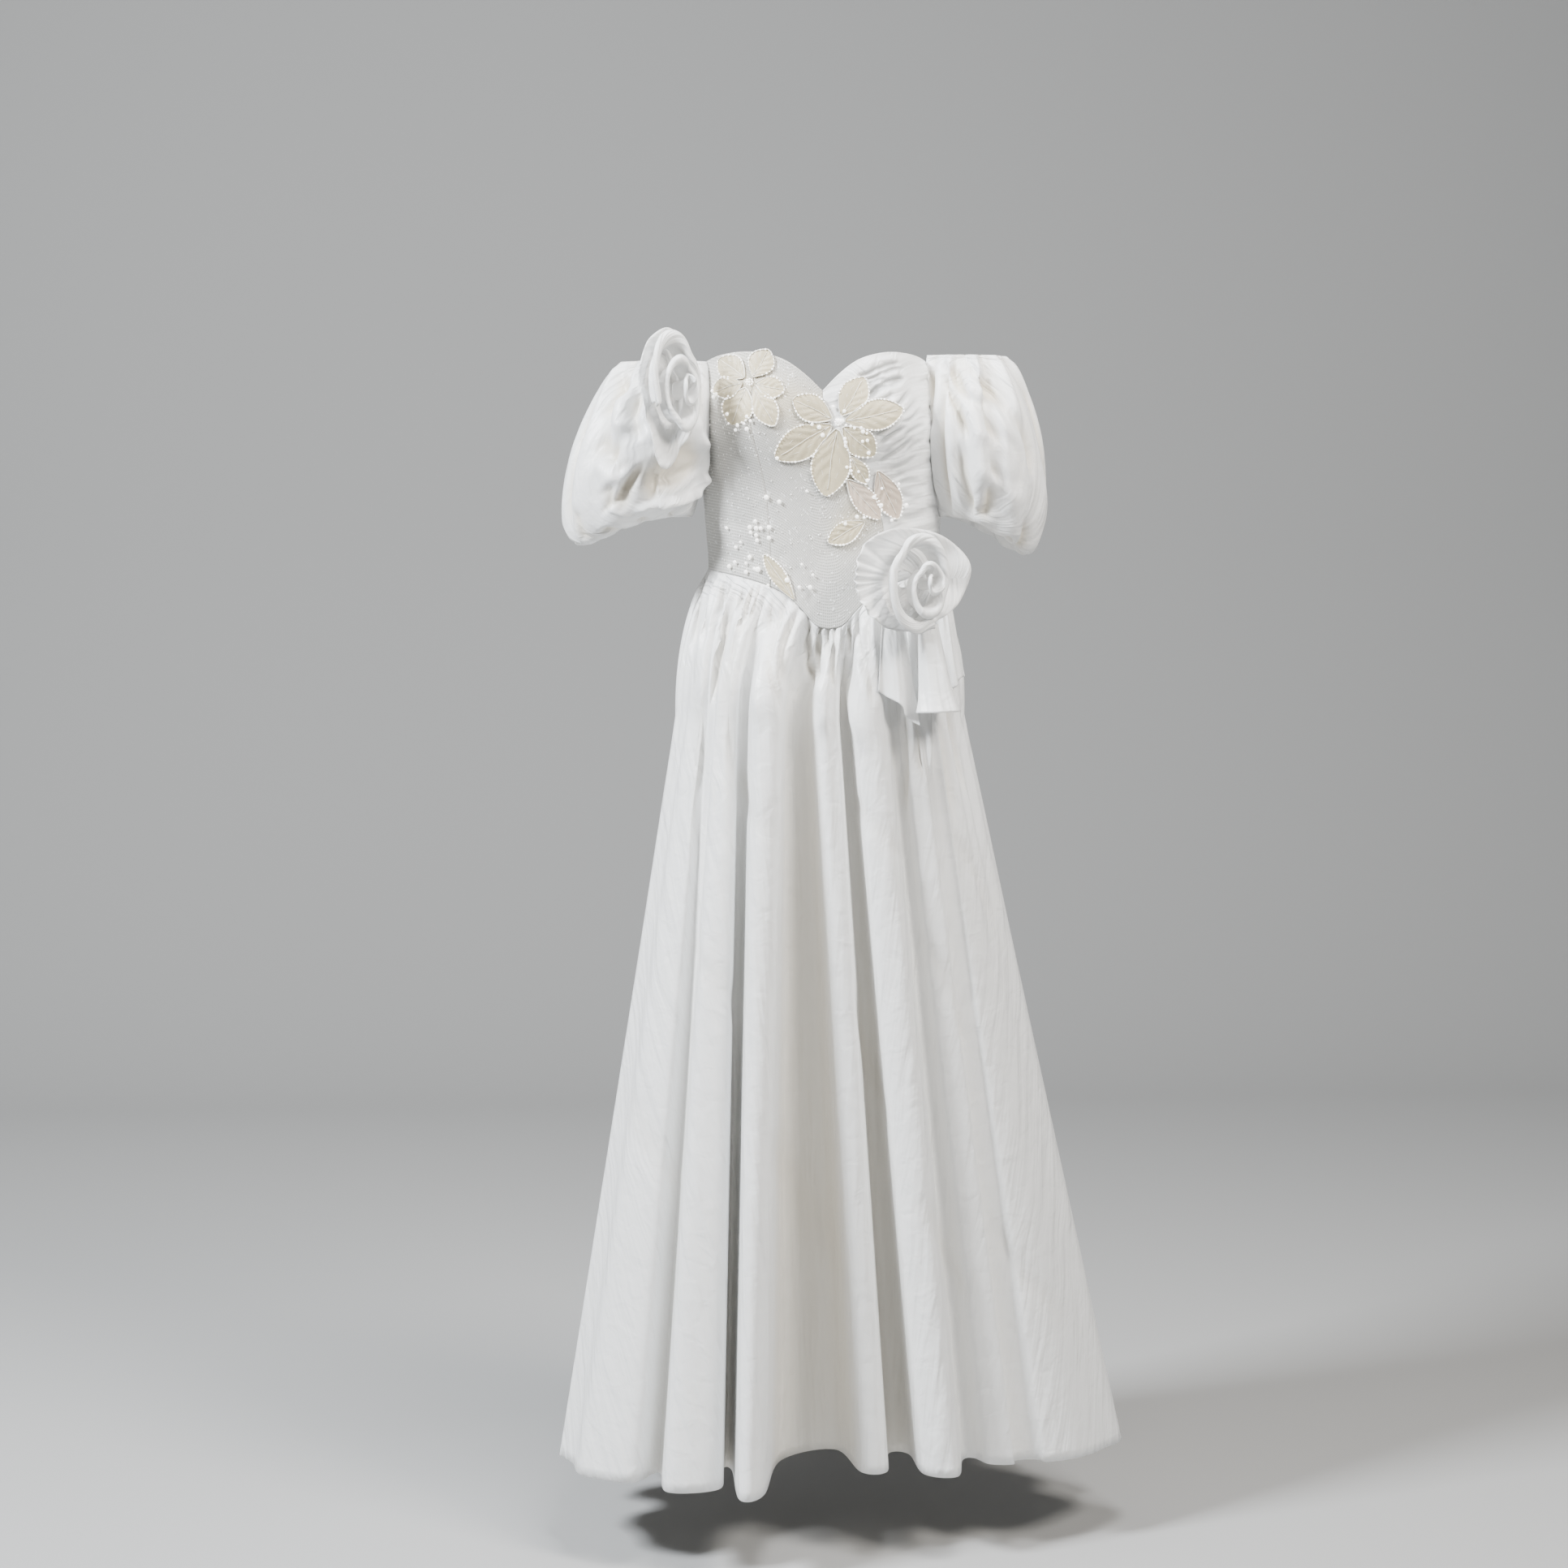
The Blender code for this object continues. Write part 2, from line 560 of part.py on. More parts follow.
def rolled_fold(top, foot, radius_top, radius_foot, turns, columns, rows):
    """A hanging roll of cloth, open and flared at its foot."""
    turn = np.linspace(0, 1, columns)[None, :]
    down = np.linspace(0, 1, rows)[:, None]
    angle = math.pi * 1.2 + 2 * math.pi * turns * turn
    radius = (radius_top + (radius_foot - radius_top) * down) * (0.55 + 0.45 * turn)
    radius = radius * (1 + 0.15 * np.clip((down - 0.7) / 0.3, 0, 1) ** 2)
    centre = [a + (b - a) * down for a, b in zip(top, foot)]
    return np.stack([centre[0] + radius * np.cos(angle), centre[1] + 0 * turn,
                     centre[2] + 0.75 * radius * np.sin(angle)], axis=-1)[::-1]


def world_tree(pieces):
    """Every face of the pieces in one tree for measuring along a line."""
    points, faces = [], []
    for piece in pieces:
        start = len(points)
        points.extend(tuple(v.co) for v in piece.data.vertices)
        faces.extend([start + i for i in polygon.vertices] for polygon in piece.data.polygons)
    return BVHTree.FromPolygons(points, faces)


def seat(pieces, azimuth, tilt, supports, gap):
    """Moves the pieces along their axis until the nearest point of the supports is one gap away."""
    turn, lean = math.radians(azimuth), math.radians(tilt)
    out = Vector((math.sin(turn) * math.cos(lean), -math.cos(turn) * math.cos(lean), math.sin(lean)))
    start = 0.15
    own, other = world_tree(pieces), world_tree(supports)
    room = []
    for piece in pieces:
        spots = [v.co for v in piece.data.vertices] + [p.center for p in piece.data.polygons]
        for spot in spots:
            distance = other.ray_cast(spot + out * start, -out)[3]
            if distance is not None:
                room.append(distance - start)
    for piece in supports:
        for spot in [v.co for v in piece.data.vertices] + [p.center for p in piece.data.polygons]:
            distance = own.ray_cast(spot - out * start, out)[3]
            if distance is not None:
                room.append(distance - start)
    for piece in pieces:
        piece.data.transform(Matrix.Translation(out * (gap - min(room))))


FOLD_GAP, ROLL_GAP, COIL_GAP = 0.0008, 0.0023, 0.0006
HIP_ROSE = (np.array([0.084, -0.120, -0.010]), 26.0, 3.0)       # centre, azimuth, tilt
SLEEVE_ROSE = (np.array([-0.166, -0.125, 0.207]), 34.0, 6.0)


def roses(satin, dress):
    def piece(name, grid, frame, wraps=False):
        return wall(name, placed(grid, *frame), satin, wraps=wraps)

    hip = HIP_ROSE
    inner_fold = piece("hip_fold_inner", hanging_fold((-0.004, -0.050, 0), (-0.004, -0.146, 0.004),
                                                      0.014, 0.024, 0.22, 1.4, 0.008, 13, 6), hip)
    seat([inner_fold], hip[1], hip[2], dress, FOLD_GAP)
    outer_fold = piece("hip_fold_outer", hanging_fold((0.068, -0.030, 0), (0.078, -0.122, 0),
                                                      0.010, 0.015, -0.10, 1.2, 0.006, 9, 6), hip)
    seat([outer_fold], hip[1], hip[2], dress + [inner_fold], FOLD_GAP)
    rolled = piece("hip_fold_rolled", rolled_fold((0.031, -0.052, 0.012), (0.038, -0.152, 0.022),
                                                  0.014, 0.028, 1.35, 17, 5), hip)
    seat([rolled], hip[1], hip[2], dress + [inner_fold, outer_fold], ROLL_GAP)
    under = dress + [inner_fold, rolled, outer_fold]
    for place, frame, wide, high, lobes, roll_wide, roll_high, start, middle in (
            ("hip", hip, 0.074, 0.058, HIP_LOBES, 0.96, 1.30, 2.0, (0.003, -0.004, 0.012)),
            ("sleeve", SLEEVE_ROSE, 0.040, 0.064, SLEEVE_LOBES, 0.74, 1.42, 0.4, (-0.004, 0, 0.010))):
        base = piece("rose_%s_ruffle" % place, ruffle(wide, high, lobes), frame, True)
        seat([base], frame[1], frame[2], under, FOLD_GAP)
        roll = piece("rose_%s_coil" % place, coil(roll_wide, roll_high, start) + middle, frame)
        seat([roll], frame[1], frame[2], [base], COIL_GAP)


# Petals and leaves sewn on the bodice

PETAL_ROWS, PETAL_COLUMNS = 6, 5
CORD_HEIGHT = 0.0009
PETAL_GAP = 0.0007
# foot and tip of each in x and z as seen from the front, and its breadth, in millimetres
PETALS = {
    "flower_upper_petal_1": (-88, 218, -114, 241, 23),
    "flower_upper_petal_2": (-90, 212, -121, 203, 20),
    "flower_upper_petal_3": (-86, 206, -103, 165, 27),
    "flower_upper_petal_4": (-77, 206, -55, 163, 22),
    "flower_upper_petal_5": (-75, 211, -44, 203, 20),
    "flower_upper_petal_6": (-78, 219, -60, 249, 23),
    "flower_middle_petal_1": (9, 171, -34, 194, 25),
    "flower_middle_petal_2": (9, 164, -54, 127, 30),
    "flower_middle_petal_3": (15, 160, 3, 84, 35),
    "flower_middle_petal_4": (21, 162, 56, 130, 25),
    "flower_middle_petal_5": (23, 169, 87, 182, 28),
    "flower_middle_petal_6": (19, 175, 44, 218, 25),
    "leaf_1": (30, 129, 49, 98, 15),
    "leaf_2": (27, 103, 65, 58, 21),
    "leaf_3": (60, 113, 84, 58, 22),
    "leaf_4": (47, 55, 6, 32, 20),
    "leaf_at_waist": (-32, -33, -65, 18, 14),
}
FLOWER_CENTRES = {"flower_upper_centre": (-82, 213), "flower_middle_centre": (16, 168)}


def on_front(x, z, out, panels):
    """The point of the bodice that is seen at x and z from the front, moved out from it."""
    heights, shift = BODICE_SECTIONS.T[[0, 4]]
    aside = x - eased(z, heights, shift)
    azimuth = np.degrees(np.arcsin(np.clip(aside / 0.14, -0.99, 0.99)))
    for _ in range(12):
        radius = polar(body(azimuth, z))[1]
        azimuth = np.degrees(np.arcsin(np.clip(aside / radius, -0.99, 0.99)))
    lift = bodice_radius(azimuth, z, panels) - polar(body(azimuth, z))[1]
    return body(azimuth, z, lift + out)


def petal_surface(foot_x, foot_z, tip_x, tip_z, breadth, rows, columns, out, panels):
    """A pointed petal: broadest nearer its tip, a little bent to one side."""
    foot, tip = np.array([foot_x, foot_z]) / 1000, np.array([tip_x, tip_z]) / 1000
    along = tip - foot
    aside = np.array([along[1], -along[0]]) / np.linalg.norm(along)
    share = np.linspace(0, 1, rows)[:, None, None]
    across = np.linspace(-1, 1, columns)[None, :, None]
    half = breadth / 2000 * (0.07 + 0.93 * np.sin(math.pi * share ** 1.15) ** 0.8)
    flat = foot + along * share + aside * (half * across)
    return on_front(flat[..., 0], flat[..., 1], out, panels)


def petals(organza, beading, panels):
    edge = np.zeros((PETAL_ROWS, PETAL_COLUMNS))
    edge[[0, -1], :] = edge[:, [0, -1]] = CORD_HEIGHT
    for name, shape in PETALS.items():
        inner = petal_surface(*shape, PETAL_ROWS, PETAL_COLUMNS, PETAL_GAP, panels)
        outer = petal_surface(*shape, PETAL_ROWS, PETAL_COLUMNS, PETAL_GAP + PETAL_WALL + edge, panels)
        wall(name, outer, organza, inner=inner)
    turn = np.linspace(0, 2 * math.pi, 10, endpoint=False)[None, :]
    ring = np.array([(0.0046, 0.0), (0.0038, 0.0020), (0.0016, 0.0034)])
    for name, (x, z) in FLOWER_CENTRES.items():
        radius = ring[:, 0][:, None]
        flat_x, flat_z = x / 1000 + radius * np.cos(turn), z / 1000 + radius * np.sin(turn)
        bead = on_front(flat_x, flat_z, PETAL_GAP + ring[:, 1][:, None] + 0 * turn, panels)
        points = bead.reshape(-1, 3)
        around = [(k, (k + 1) % 10) for k in range(10)]
        faces = [(10 * r + a, 10 * r + b, 10 * r + 10 + b, 10 * r + 10 + a) for r in (0, 1) for a, b in around]
        faces += [tuple(range(9, -1, -1)), tuple(range(20, 30))]
        add_mesh(name, points, faces, beading)


# The zip at the centre back

ZIP_WALL = 0.0014
SLIDER = (0.0050, 0.0022, 0.0080)       # across, out, up
SLIDER_HEIGHT = 0.187
PULL = (0.0046, 0.0010, 0.0210)
HINGE_UP, HINGE_OUT = 0.0012, 0.0032    # from the slider's middle and from the zip's face to the pull's pin
PIN_RADIUS, HOLE_RADIUS = 0.00045, 0.00080


def zip_strip(tape, skirt_line):
    """One strip from the neckline over the waist seam and down into the skirt."""
    share = np.linspace(1, 0, 9)
    low, high = waist_seam(np.array([180.0]))[0] + SEAM_GAP / 2, top_edge(np.array([180.0]))[0]
    upper = body(np.full(9, 180.0), low + (high - low) * share)
    line = np.vstack([upper, skirt_line[1:]])[::-1]
    grid = np.repeat(line[:, None, :], 3, axis=1)
    grid[:, :, 0] += np.array([ZIP_WIDTH / 2, 0, -ZIP_WIDTH / 2])
    grid[:, :, 1] -= SEAM_GAP
    inner = grid - (0, ZIP_WALL, 0)
    return wall("zip", grid, tape, inner=inner)


def block(low, high):
    made = bmesh.new()
    bmesh.ops.create_cube(made, size=1)
    size = Vector(high) - Vector(low)
    for vertex in made.verts:
        vertex.co = Vector(low) + Vector([size[k] * (vertex.co[k] + 0.5) for k in range(3)])
    return made


def bar(centre, radius, length, sides):
    """A rod along X."""
    made = bmesh.new()
    bmesh.ops.create_cone(made, cap_ends=True, segments=sides, radius1=radius, radius2=radius, depth=length)
    bmesh.ops.rotate(made, verts=made.verts, matrix=Matrix.Rotation(math.pi / 2, 3, "Y"))
    bmesh.ops.translate(made, verts=made.verts, vec=Vector(centre))
    return made


def solid_from(name, first, others, finish):
    """The first shape with each other shape joined to it or cut from it, in the order given."""
    mesh = bpy.data.meshes.new(name)
    first.to_mesh(mesh)
    mesh.materials.append(finish)
    piece = bpy.data.objects.new(name, mesh)
    bpy.context.scene.collection.objects.link(piece)
    for number, (operation, shape) in enumerate(others):
        helper_mesh = bpy.data.meshes.new("%s_helper_%d" % (name, number))
        shape.to_mesh(helper_mesh)
        helper = bpy.data.objects.new(helper_mesh.name, helper_mesh)
        bpy.context.scene.collection.objects.link(helper)
        helper.hide_render = True
        helper.display_type = "WIRE"
        step = piece.modifiers.new("step_%d" % number, "BOOLEAN")
        step.operation, step.solver, step.object = operation, "EXACT", helper
    return piece


def zip_slider_and_pull(metal, face_y):
    """The slider stands just off the closed zip. Its lug carries the pull's pin."""
    across, out, up = SLIDER
    z = SLIDER_HEIGHT
    base = face_y + SEAM_GAP
    hinge = (0.0, face_y + HINGE_OUT, z + HINGE_UP)
    slider = block((-across / 2, base, z - up / 2), (across / 2, base + out * 0.7, z + up / 2))
    lug = block((-0.0008, base + 0.0008, hinge[2] - 0.0016), (0.0008, hinge[1] + 0.0013, hinge[2] + 0.0016))
    hole = bar(hinge, HOLE_RADIUS, 0.004, 12)
    solid_from("zip_slider", slider, [("UNION", lug), ("DIFFERENCE", hole)], metal)
    half, thick, long = PULL[0] / 2, PULL[1], PULL[2]
    plate = block((-half, hinge[1] - thick / 2, hinge[2] - long), (half, hinge[1] + thick / 2, hinge[2] + 0.0008))
    slot = block((-0.0011, hinge[1] - 0.002, hinge[2] - 0.0026), (0.0011, hinge[1] + 0.002, hinge[2] + 0.002))
    eye = block((-0.0012, hinge[1] - 0.002, hinge[2] - long + 0.0016),
                (0.0012, hinge[1] + 0.002, hinge[2] - long + 0.0070))
    pin = bar(hinge, PIN_RADIUS, PULL[0] - 0.0004, 10)
    solid_from("zip_pull", plate, [("DIFFERENCE", slot), ("DIFFERENCE", eye), ("UNION", pin)], metal)


# Materials and assembly

def build():
    for old in list(bpy.data.objects):
        bpy.data.objects.remove(old)
    satin = finish("satin", (0.86, 0.86, 0.84), 0.42)
    lace = finish("sequinned_lace", (0.80, 0.79, 0.76), 0.50)
    organza = finish("organza", (0.80, 0.75, 0.64), 0.55)
    beading = finish("beading", (0.90, 0.88, 0.82), 0.25)
    tape = finish("zip_tape", (0.84, 0.83, 0.80), 0.60)
    metal = finish("zip_metal", (0.72, 0.72, 0.70), 0.35, metallic=1.0)
    bodice(lace, satin)
    panels = world_tree(list(bpy.context.scene.objects))
    skirt_line = skirt_panels(satin)
    sleeves(satin, panels)
    roses(satin, list(bpy.context.scene.objects))
    petals(organza, beading, panels)
    zip_strip(tape, skirt_line)
    zip_slider_and_pull(metal, body(np.array([180.0]), np.array([SLIDER_HEIGHT]))[0, 1] - SEAM_GAP)


build()
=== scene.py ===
import math

import bpy
import numpy as np
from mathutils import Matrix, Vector


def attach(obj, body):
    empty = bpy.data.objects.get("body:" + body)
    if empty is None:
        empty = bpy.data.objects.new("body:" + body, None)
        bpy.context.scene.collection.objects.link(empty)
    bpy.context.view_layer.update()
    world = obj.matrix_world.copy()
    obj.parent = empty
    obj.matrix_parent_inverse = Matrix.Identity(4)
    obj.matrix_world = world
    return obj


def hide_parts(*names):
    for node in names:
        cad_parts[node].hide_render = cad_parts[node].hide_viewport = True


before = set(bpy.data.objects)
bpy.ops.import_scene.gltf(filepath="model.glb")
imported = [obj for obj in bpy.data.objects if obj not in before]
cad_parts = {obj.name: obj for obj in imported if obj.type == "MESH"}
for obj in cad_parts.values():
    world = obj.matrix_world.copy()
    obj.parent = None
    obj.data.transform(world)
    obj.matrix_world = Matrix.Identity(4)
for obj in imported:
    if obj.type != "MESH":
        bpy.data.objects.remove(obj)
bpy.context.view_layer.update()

# All lengths are in metres. The gown faces -Y, the wearer's left is +X, and the middle of the waist is the
# origin. Azimuth is the angle round the body in degrees: 0 at the front, 90 at the wearer's left, 180 at the
# back. Tables in millimetres are turned into metres where they are read.


# Studio: a pale floor that curves up into a pale backdrop, a cool soft light on the left, a warmer and
# weaker one on the right, and one from above.

FLOOR_HEIGHT, FLOOR_AHEAD, FLOOR_HALF_WIDTH = -1.155, -7.0, 8.0
BACKDROP, CURVE_RADIUS, WALL_TOP = 2.6, 1.2, 6.0       # where the floor turns up, how fast, how high it goes
FLOOR_COLOUR = (0.43, 0.43, 0.427)
LIGHTS_AIM = (0, 0, -0.15)
ROOM_COLOUR, ROOM_STRENGTH = (1.0, 0.96, 0.90), 0.12
SOFT_LIGHTS = {          # place, size, watts, colour
    "light_window": ((-2.5, -1.35, 1.9), 0.7, 345, (0.92, 0.96, 1.0)),
    "light_fill": ((1.3, -1.45, 1.3), 0.7, 70, (1.0, 0.955, 0.89)),
    "light_top": ((0.25, -0.7, 1.7), 0.6, 50, (1.0, 1.0, 1.0)),
}


def new_material(name):
    made = bpy.data.materials.new(name)
    made.use_nodes = True
    nodes = made.node_tree.nodes
    return made, nodes, made.node_tree.links, nodes["Principled BSDF"]


def mesh_object(name, points, faces, finish):
    """A smooth mesh of one material, put in the scene."""
    mesh = bpy.data.meshes.new(name)
    mesh.from_pydata(points, [], faces)
    mesh.materials.append(finish)
    mesh.shade_smooth()
    made = bpy.data.objects.new(name, mesh)
    bpy.context.scene.collection.objects.link(made)
    return made


def studio_floor():
    """A strip of floor swept along a profile: flat, then a quarter circle up, then a straight wall."""
    turn = np.linspace(0, math.pi / 2, 24)
    y = np.concatenate([[FLOOR_AHEAD], BACKDROP + CURVE_RADIUS * np.sin(turn), [BACKDROP + CURVE_RADIUS]])
    z = np.concatenate([[0.0], CURVE_RADIUS * (1 - np.cos(turn)), [WALL_TOP]]) + FLOOR_HEIGHT
    x = np.array([-FLOOR_HALF_WIDTH, FLOOR_HALF_WIDTH])
    points = [(a, b, c) for b, c in zip(y, z) for a in x]
    faces = [(2 * k, 2 * k + 1, 2 * k + 3, 2 * k + 2) for k in range(len(y) - 1)]
    paper, nodes, links, shader = new_material("studio_paper")
    shader.inputs["Base Color"].default_value = (*FLOOR_COLOUR, 1)
    shader.inputs["Roughness"].default_value = 0.85
    mesh_object("studio_floor", points, faces, paper)


def studio_lights():
    for name, (place, size, watts, colour) in SOFT_LIGHTS.items():
        light = bpy.data.lights.new(name, "AREA")
        light.shape, light.size, light.energy, light.color = "SQUARE", size, watts, colour
        lamp = bpy.data.objects.new(name, light)
        lamp.location = place
        lamp.rotation_euler = (Vector(LIGHTS_AIM) - Vector(place)).to_track_quat("-Z", "Y").to_euler()
        bpy.context.scene.collection.objects.link(lamp)
    world = bpy.data.worlds.new("studio")
    world.use_nodes = True
    room = world.node_tree.nodes["Background"]
    room.inputs["Color"].default_value = (*ROOM_COLOUR, 1)
    room.inputs["Strength"].default_value = ROOM_STRENGTH
    bpy.context.scene.world = world


CAMERA_TURN, CAMERA_TILT = -4.0, -5.389     # degrees round from the front, degrees below level
CAMERA_PLACE = (-0.28807, -3.58865, 0.0855)
CAMERA_LENS = 70.32                         # mm on a 36 mm sensor


def studio_camera():
    camera = bpy.data.cameras.new("camera")
    camera.sensor_width, camera.lens, camera.clip_end = 36.0, CAMERA_LENS, 60.0
    holder = bpy.data.objects.new("camera", camera)
    holder.location = CAMERA_PLACE
    holder.rotation_euler = (math.radians(90 + CAMERA_TILT), 0, math.radians(CAMERA_TURN))
    bpy.context.scene.collection.objects.link(holder)
    bpy.context.scene.camera = holder


studio_floor()
studio_lights()
studio_camera()


# Bodice front and right side: sequinned lace laid over satin, boned and fitted, joined at the princess seam.
# The front ends at a slanting seam that runs from the neckline's notch down to the left hip.

# height, half width, front depth, back depth, sideways shift of the section's centre
BODICE_SECTIONS = np.array([
    (-0.090, 0.143, 0.112, 0.110, 0.007),
    (0.000, 0.1335, 0.101, 0.092, 0.008),
    (0.060, 0.1365, 0.102, 0.091, 0.007),
    (0.120, 0.138, 0.105, 0.094, 0.004),
    (0.180, 0.138, 0.108, 0.097, 0.000),
    (0.260, 0.133, 0.104, 0.094, -0.003),
])
# azimuth, height of the top edge: the notch, the cup's peak, under the arm, centre back
TOP_EDGE = np.array([(0, 0.203), (9, 0.220), (20, 0.236), (35, 0.246), (58, 0.245), (80, 0.232),
                     (100, 0.216), (130, 0.202), (180, 0.196)])
# azimuth, height of the waist seam: the point, its flank, the hip, the back
WAIST_SEAM = np.array([(0, -0.067), (8, -0.063), (16, -0.047), (24, -0.032), (36, -0.019), (52, -0.009),
                       (75, -0.002), (100, 0.0), (180, 0.0)])
SQUARENESS = 2.25
CUP_DEPTH, CUP_AZIMUTH, CUP_HEIGHT, CUP_SPREAD, CUP_TALL = 0.017, 38.0, 0.168, 25.0, 0.050
SEAM_GAP = 0.0003
CLOTH_THICKNESS = 0.0007


def eased(at, knots, values):
    """A cubic between each two rows of a table, with the slope at a row taken from its neighbours."""
    knots, values = np.asarray(knots, float), np.asarray(values, float)
    at = np.clip(at, knots[0], knots[-1])
    slope = np.gradient(values, knots)
    i = np.clip(np.searchsorted(knots, at, side="right") - 1, 0, len(knots) - 2)
    step = knots[i + 1] - knots[i]
    t = (at - knots[i]) / step
    return (values[i] * (1 + 2 * t) * (1 - t) ** 2 + values[i + 1] * t * t * (3 - 2 * t)
            + step * t * (1 - t) * (slope[i] * (1 - t) - slope[i + 1] * t))


def smooth(low, high, value):
    """0 at low and 1 at high, with an S curve between."""
    t = np.clip((value - low) / (high - low), 0, 1)
    return t * t * (3 - 2 * t)


def top_edge(azimuth):
    return eased(np.abs(azimuth), *TOP_EDGE.T)


def waist_seam(azimuth):
    return eased(np.abs(azimuth), *WAIST_SEAM.T)


def body(azimuth, height, out=0.0):
    """A superellipse at each height, its half width and depths eased down the table, plus two bell-shaped
    cups, moved out along the line from the middle."""
    heights, half, front, back, shift = BODICE_SECTIONS.T
    turn = np.radians(azimuth)
    across, ahead = np.sin(turn), -np.cos(turn)
    depth = np.where(ahead < 0, eased(height, heights, front), eased(height, heights, back))
    radius = ((np.abs(across) / eased(height, heights, half)) ** SQUARENESS
              + (np.abs(ahead) / depth) ** SQUARENESS) ** (-1 / SQUARENESS)
    cup = np.exp(-((np.abs(azimuth) - CUP_AZIMUTH) / CUP_SPREAD) ** 2
                 - ((height - CUP_HEIGHT) / CUP_TALL) ** 2)
    radius = radius + CUP_DEPTH * cup + out
    return np.stack([radius * across + eased(height, heights, shift), radius * ahead,
                     height + np.zeros_like(radius)], axis=-1)


def troughs(x, y, table):
    """Soft creases pressed into a cloth laid flat. Each row of the table gives a crease's two ends, its
    width and its depth, all in millimetres. The depth falls off as a bell across the crease and eases
    out towards both ends. A negative depth is a ridge."""
    depth = np.zeros(np.broadcast(x, y).shape)
    for x0, y0, x1, y1, width, deep in np.asarray(table, float) / 1000:
        along = np.array([x1 - x0, y1 - y0])
        length = np.hypot(*along)
        share = ((x - x0) * along[0] + (y - y0) * along[1]) / length ** 2
        aside = ((y - y0) * along[0] - (x - x0) * along[1]) / length
        aside = aside + 0.35 * width * np.sin(5 * share + 900 * x0)
        ends = smooth(-0.12, 0.22, share) * smooth(1.12, 0.72, share)
        depth += deep * ends * np.exp(-(aside / width) ** 2)
    return depth


def cloth(name, grid, finish, wraps=False, thick=CLOTH_THICKNESS, net_and_painted_shade_marks=None):
    """A sheet of cloth on a grid of points: rows go up the piece and columns go round it by azimuth. Its UV
    map holds the true distance along each row and up each column, in metres, so a weave keeps its scale.
    Where given, the net-and-shade share is an attribute: how far each point takes on its material's second
    colour, the champagne net on the lace and painted shade in the folds of the satin."""
    rows, columns = grid.shape[:2]
    laid = np.concatenate([grid, grid[:, :1]], axis=1) if wraps else grid
    u = np.zeros(laid.shape[:2])
    v = np.zeros(laid.shape[:2])
    u[:, 1:] = np.cumsum(np.linalg.norm(np.diff(laid, axis=1), axis=2), axis=1)
    v[1:] = np.cumsum(np.linalg.norm(np.diff(laid, axis=0), axis=2), axis=0)
    u -= u.mean(axis=1, keepdims=True)
    i, j = np.meshgrid(np.arange(rows - 1), np.arange(laid.shape[1] - 1), indexing="ij")
    corner_i = np.stack([i, i, i + 1, i + 1], axis=-1)
    corner_j = np.stack([j, j + 1, j + 1, j], axis=-1)
    faces = (corner_i * columns + corner_j % columns).reshape(-1, 4)
    piece = mesh_object(name, grid.reshape(-1, 3).tolist(), faces.tolist(), finish)
    layer = piece.data.uv_layers.new(name="UVMap")
    layer.data.foreach_set("uv", np.stack([u[corner_i, corner_j], v[corner_i, corner_j]], axis=-1).ravel())
    # On the lace this attribute is the champagne net; on the satin it is painted shade in the folds
    if net_and_painted_shade_marks is not None:
        second = piece.data.attributes.new("net_and_painted_shade", "FLOAT", "POINT")
        second.data.foreach_set("value", net_and_painted_shade_marks.ravel())
    if thick:
        wall = piece.modifiers.new("thickness", "SOLIDIFY")
        wall.thickness, wall.offset = thick, -1.0
    return piece


def stands_for(piece, node, body_name="dress"):
    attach(piece, body_name)
    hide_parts(node)


def new_group(name, inputs, outputs):
    """A shader node group with the named inputs and their starting values, and the named outputs."""
    group = bpy.data.node_groups.new(name, "ShaderNodeTree")
    for label, kind, value in inputs:
        socket = group.interface.new_socket(label, in_out="INPUT", socket_type=kind)
        if value is not None:
            socket.default_value = value
    for label, kind in outputs:
        group.interface.new_socket(label, in_out="OUTPUT", socket_type=kind)
    return group, group.nodes.new("NodeGroupInput"), group.nodes.new("NodeGroupOutput")


def math_node(nodes, links, operation, *values):
    """One Math node. A value is a number, or a socket to link."""
    node = nodes.new("ShaderNodeMath")
    node.operation = operation
    for k, value in enumerate(values):
        if isinstance(value, (int, float)):
            node.inputs[k].default_value = value
        else:
            links.new(value, node.inputs[k])
    return node.outputs[0]


def noise_node(nodes, links, vector, scale, detail=2.0, distortion=0.0):
    """Soft random grey values, as many to the metre as the scale says."""
    noise = nodes.new("ShaderNodeTexNoise")
    noise.inputs["Detail"].default_value = detail
    noise.inputs["Distortion"].default_value = distortion
    if isinstance(scale, (int, float)):
        noise.inputs["Scale"].default_value = scale
    else:
        links.new(scale, noise.inputs["Scale"])
    links.new(vector, noise.inputs["Vector"])
    return noise.outputs["Fac"]


def stretched(nodes, links, vector, stretch):
    lay = nodes.new("ShaderNodeMapping")
    lay.inputs["Scale"].default_value = stretch
    links.new(vector, lay.inputs["Vector"])
    return lay.outputs[0]


def weave_group():
    """Threads across and along the cloth, each a stretched noise, and slow patches of shade.
    Height is threads plus slubs, and Shade is near 1 with soft lighter and darker patches."""
    group, given, result = new_group(
        "weave", [("Vector", "NodeSocketVector", None), ("Threads per Metre", "NodeSocketFloat", 900.0),
                  ("Patch", "NodeSocketFloat", 0.04)],
        [("Height", "NodeSocketFloat"), ("Shade", "NodeSocketFloat")])
    nodes, links = group.nodes, group.links
    threads = [noise_node(nodes, links, stretched(nodes, links, given.outputs["Vector"], stretch),
                          given.outputs["Threads per Metre"], detail=1.0)
               for stretch in ((1.0, 0.10, 1.0), (0.10, 1.0, 1.0))]
    links.new(math_node(nodes, links, "ADD", *threads), result.inputs["Height"])
    patch = noise_node(nodes, links, given.outputs["Vector"], 9.0, detail=3.0)
    centred = math_node(nodes, links, "SUBTRACT", patch, 0.5)
    spread = math_node(nodes, links, "MULTIPLY", centred, given.outputs["Patch"])
    links.new(math_node(nodes, links, "ADD", spread, 1.0), result.inputs["Shade"])
    return group


WEAVE = weave_group()


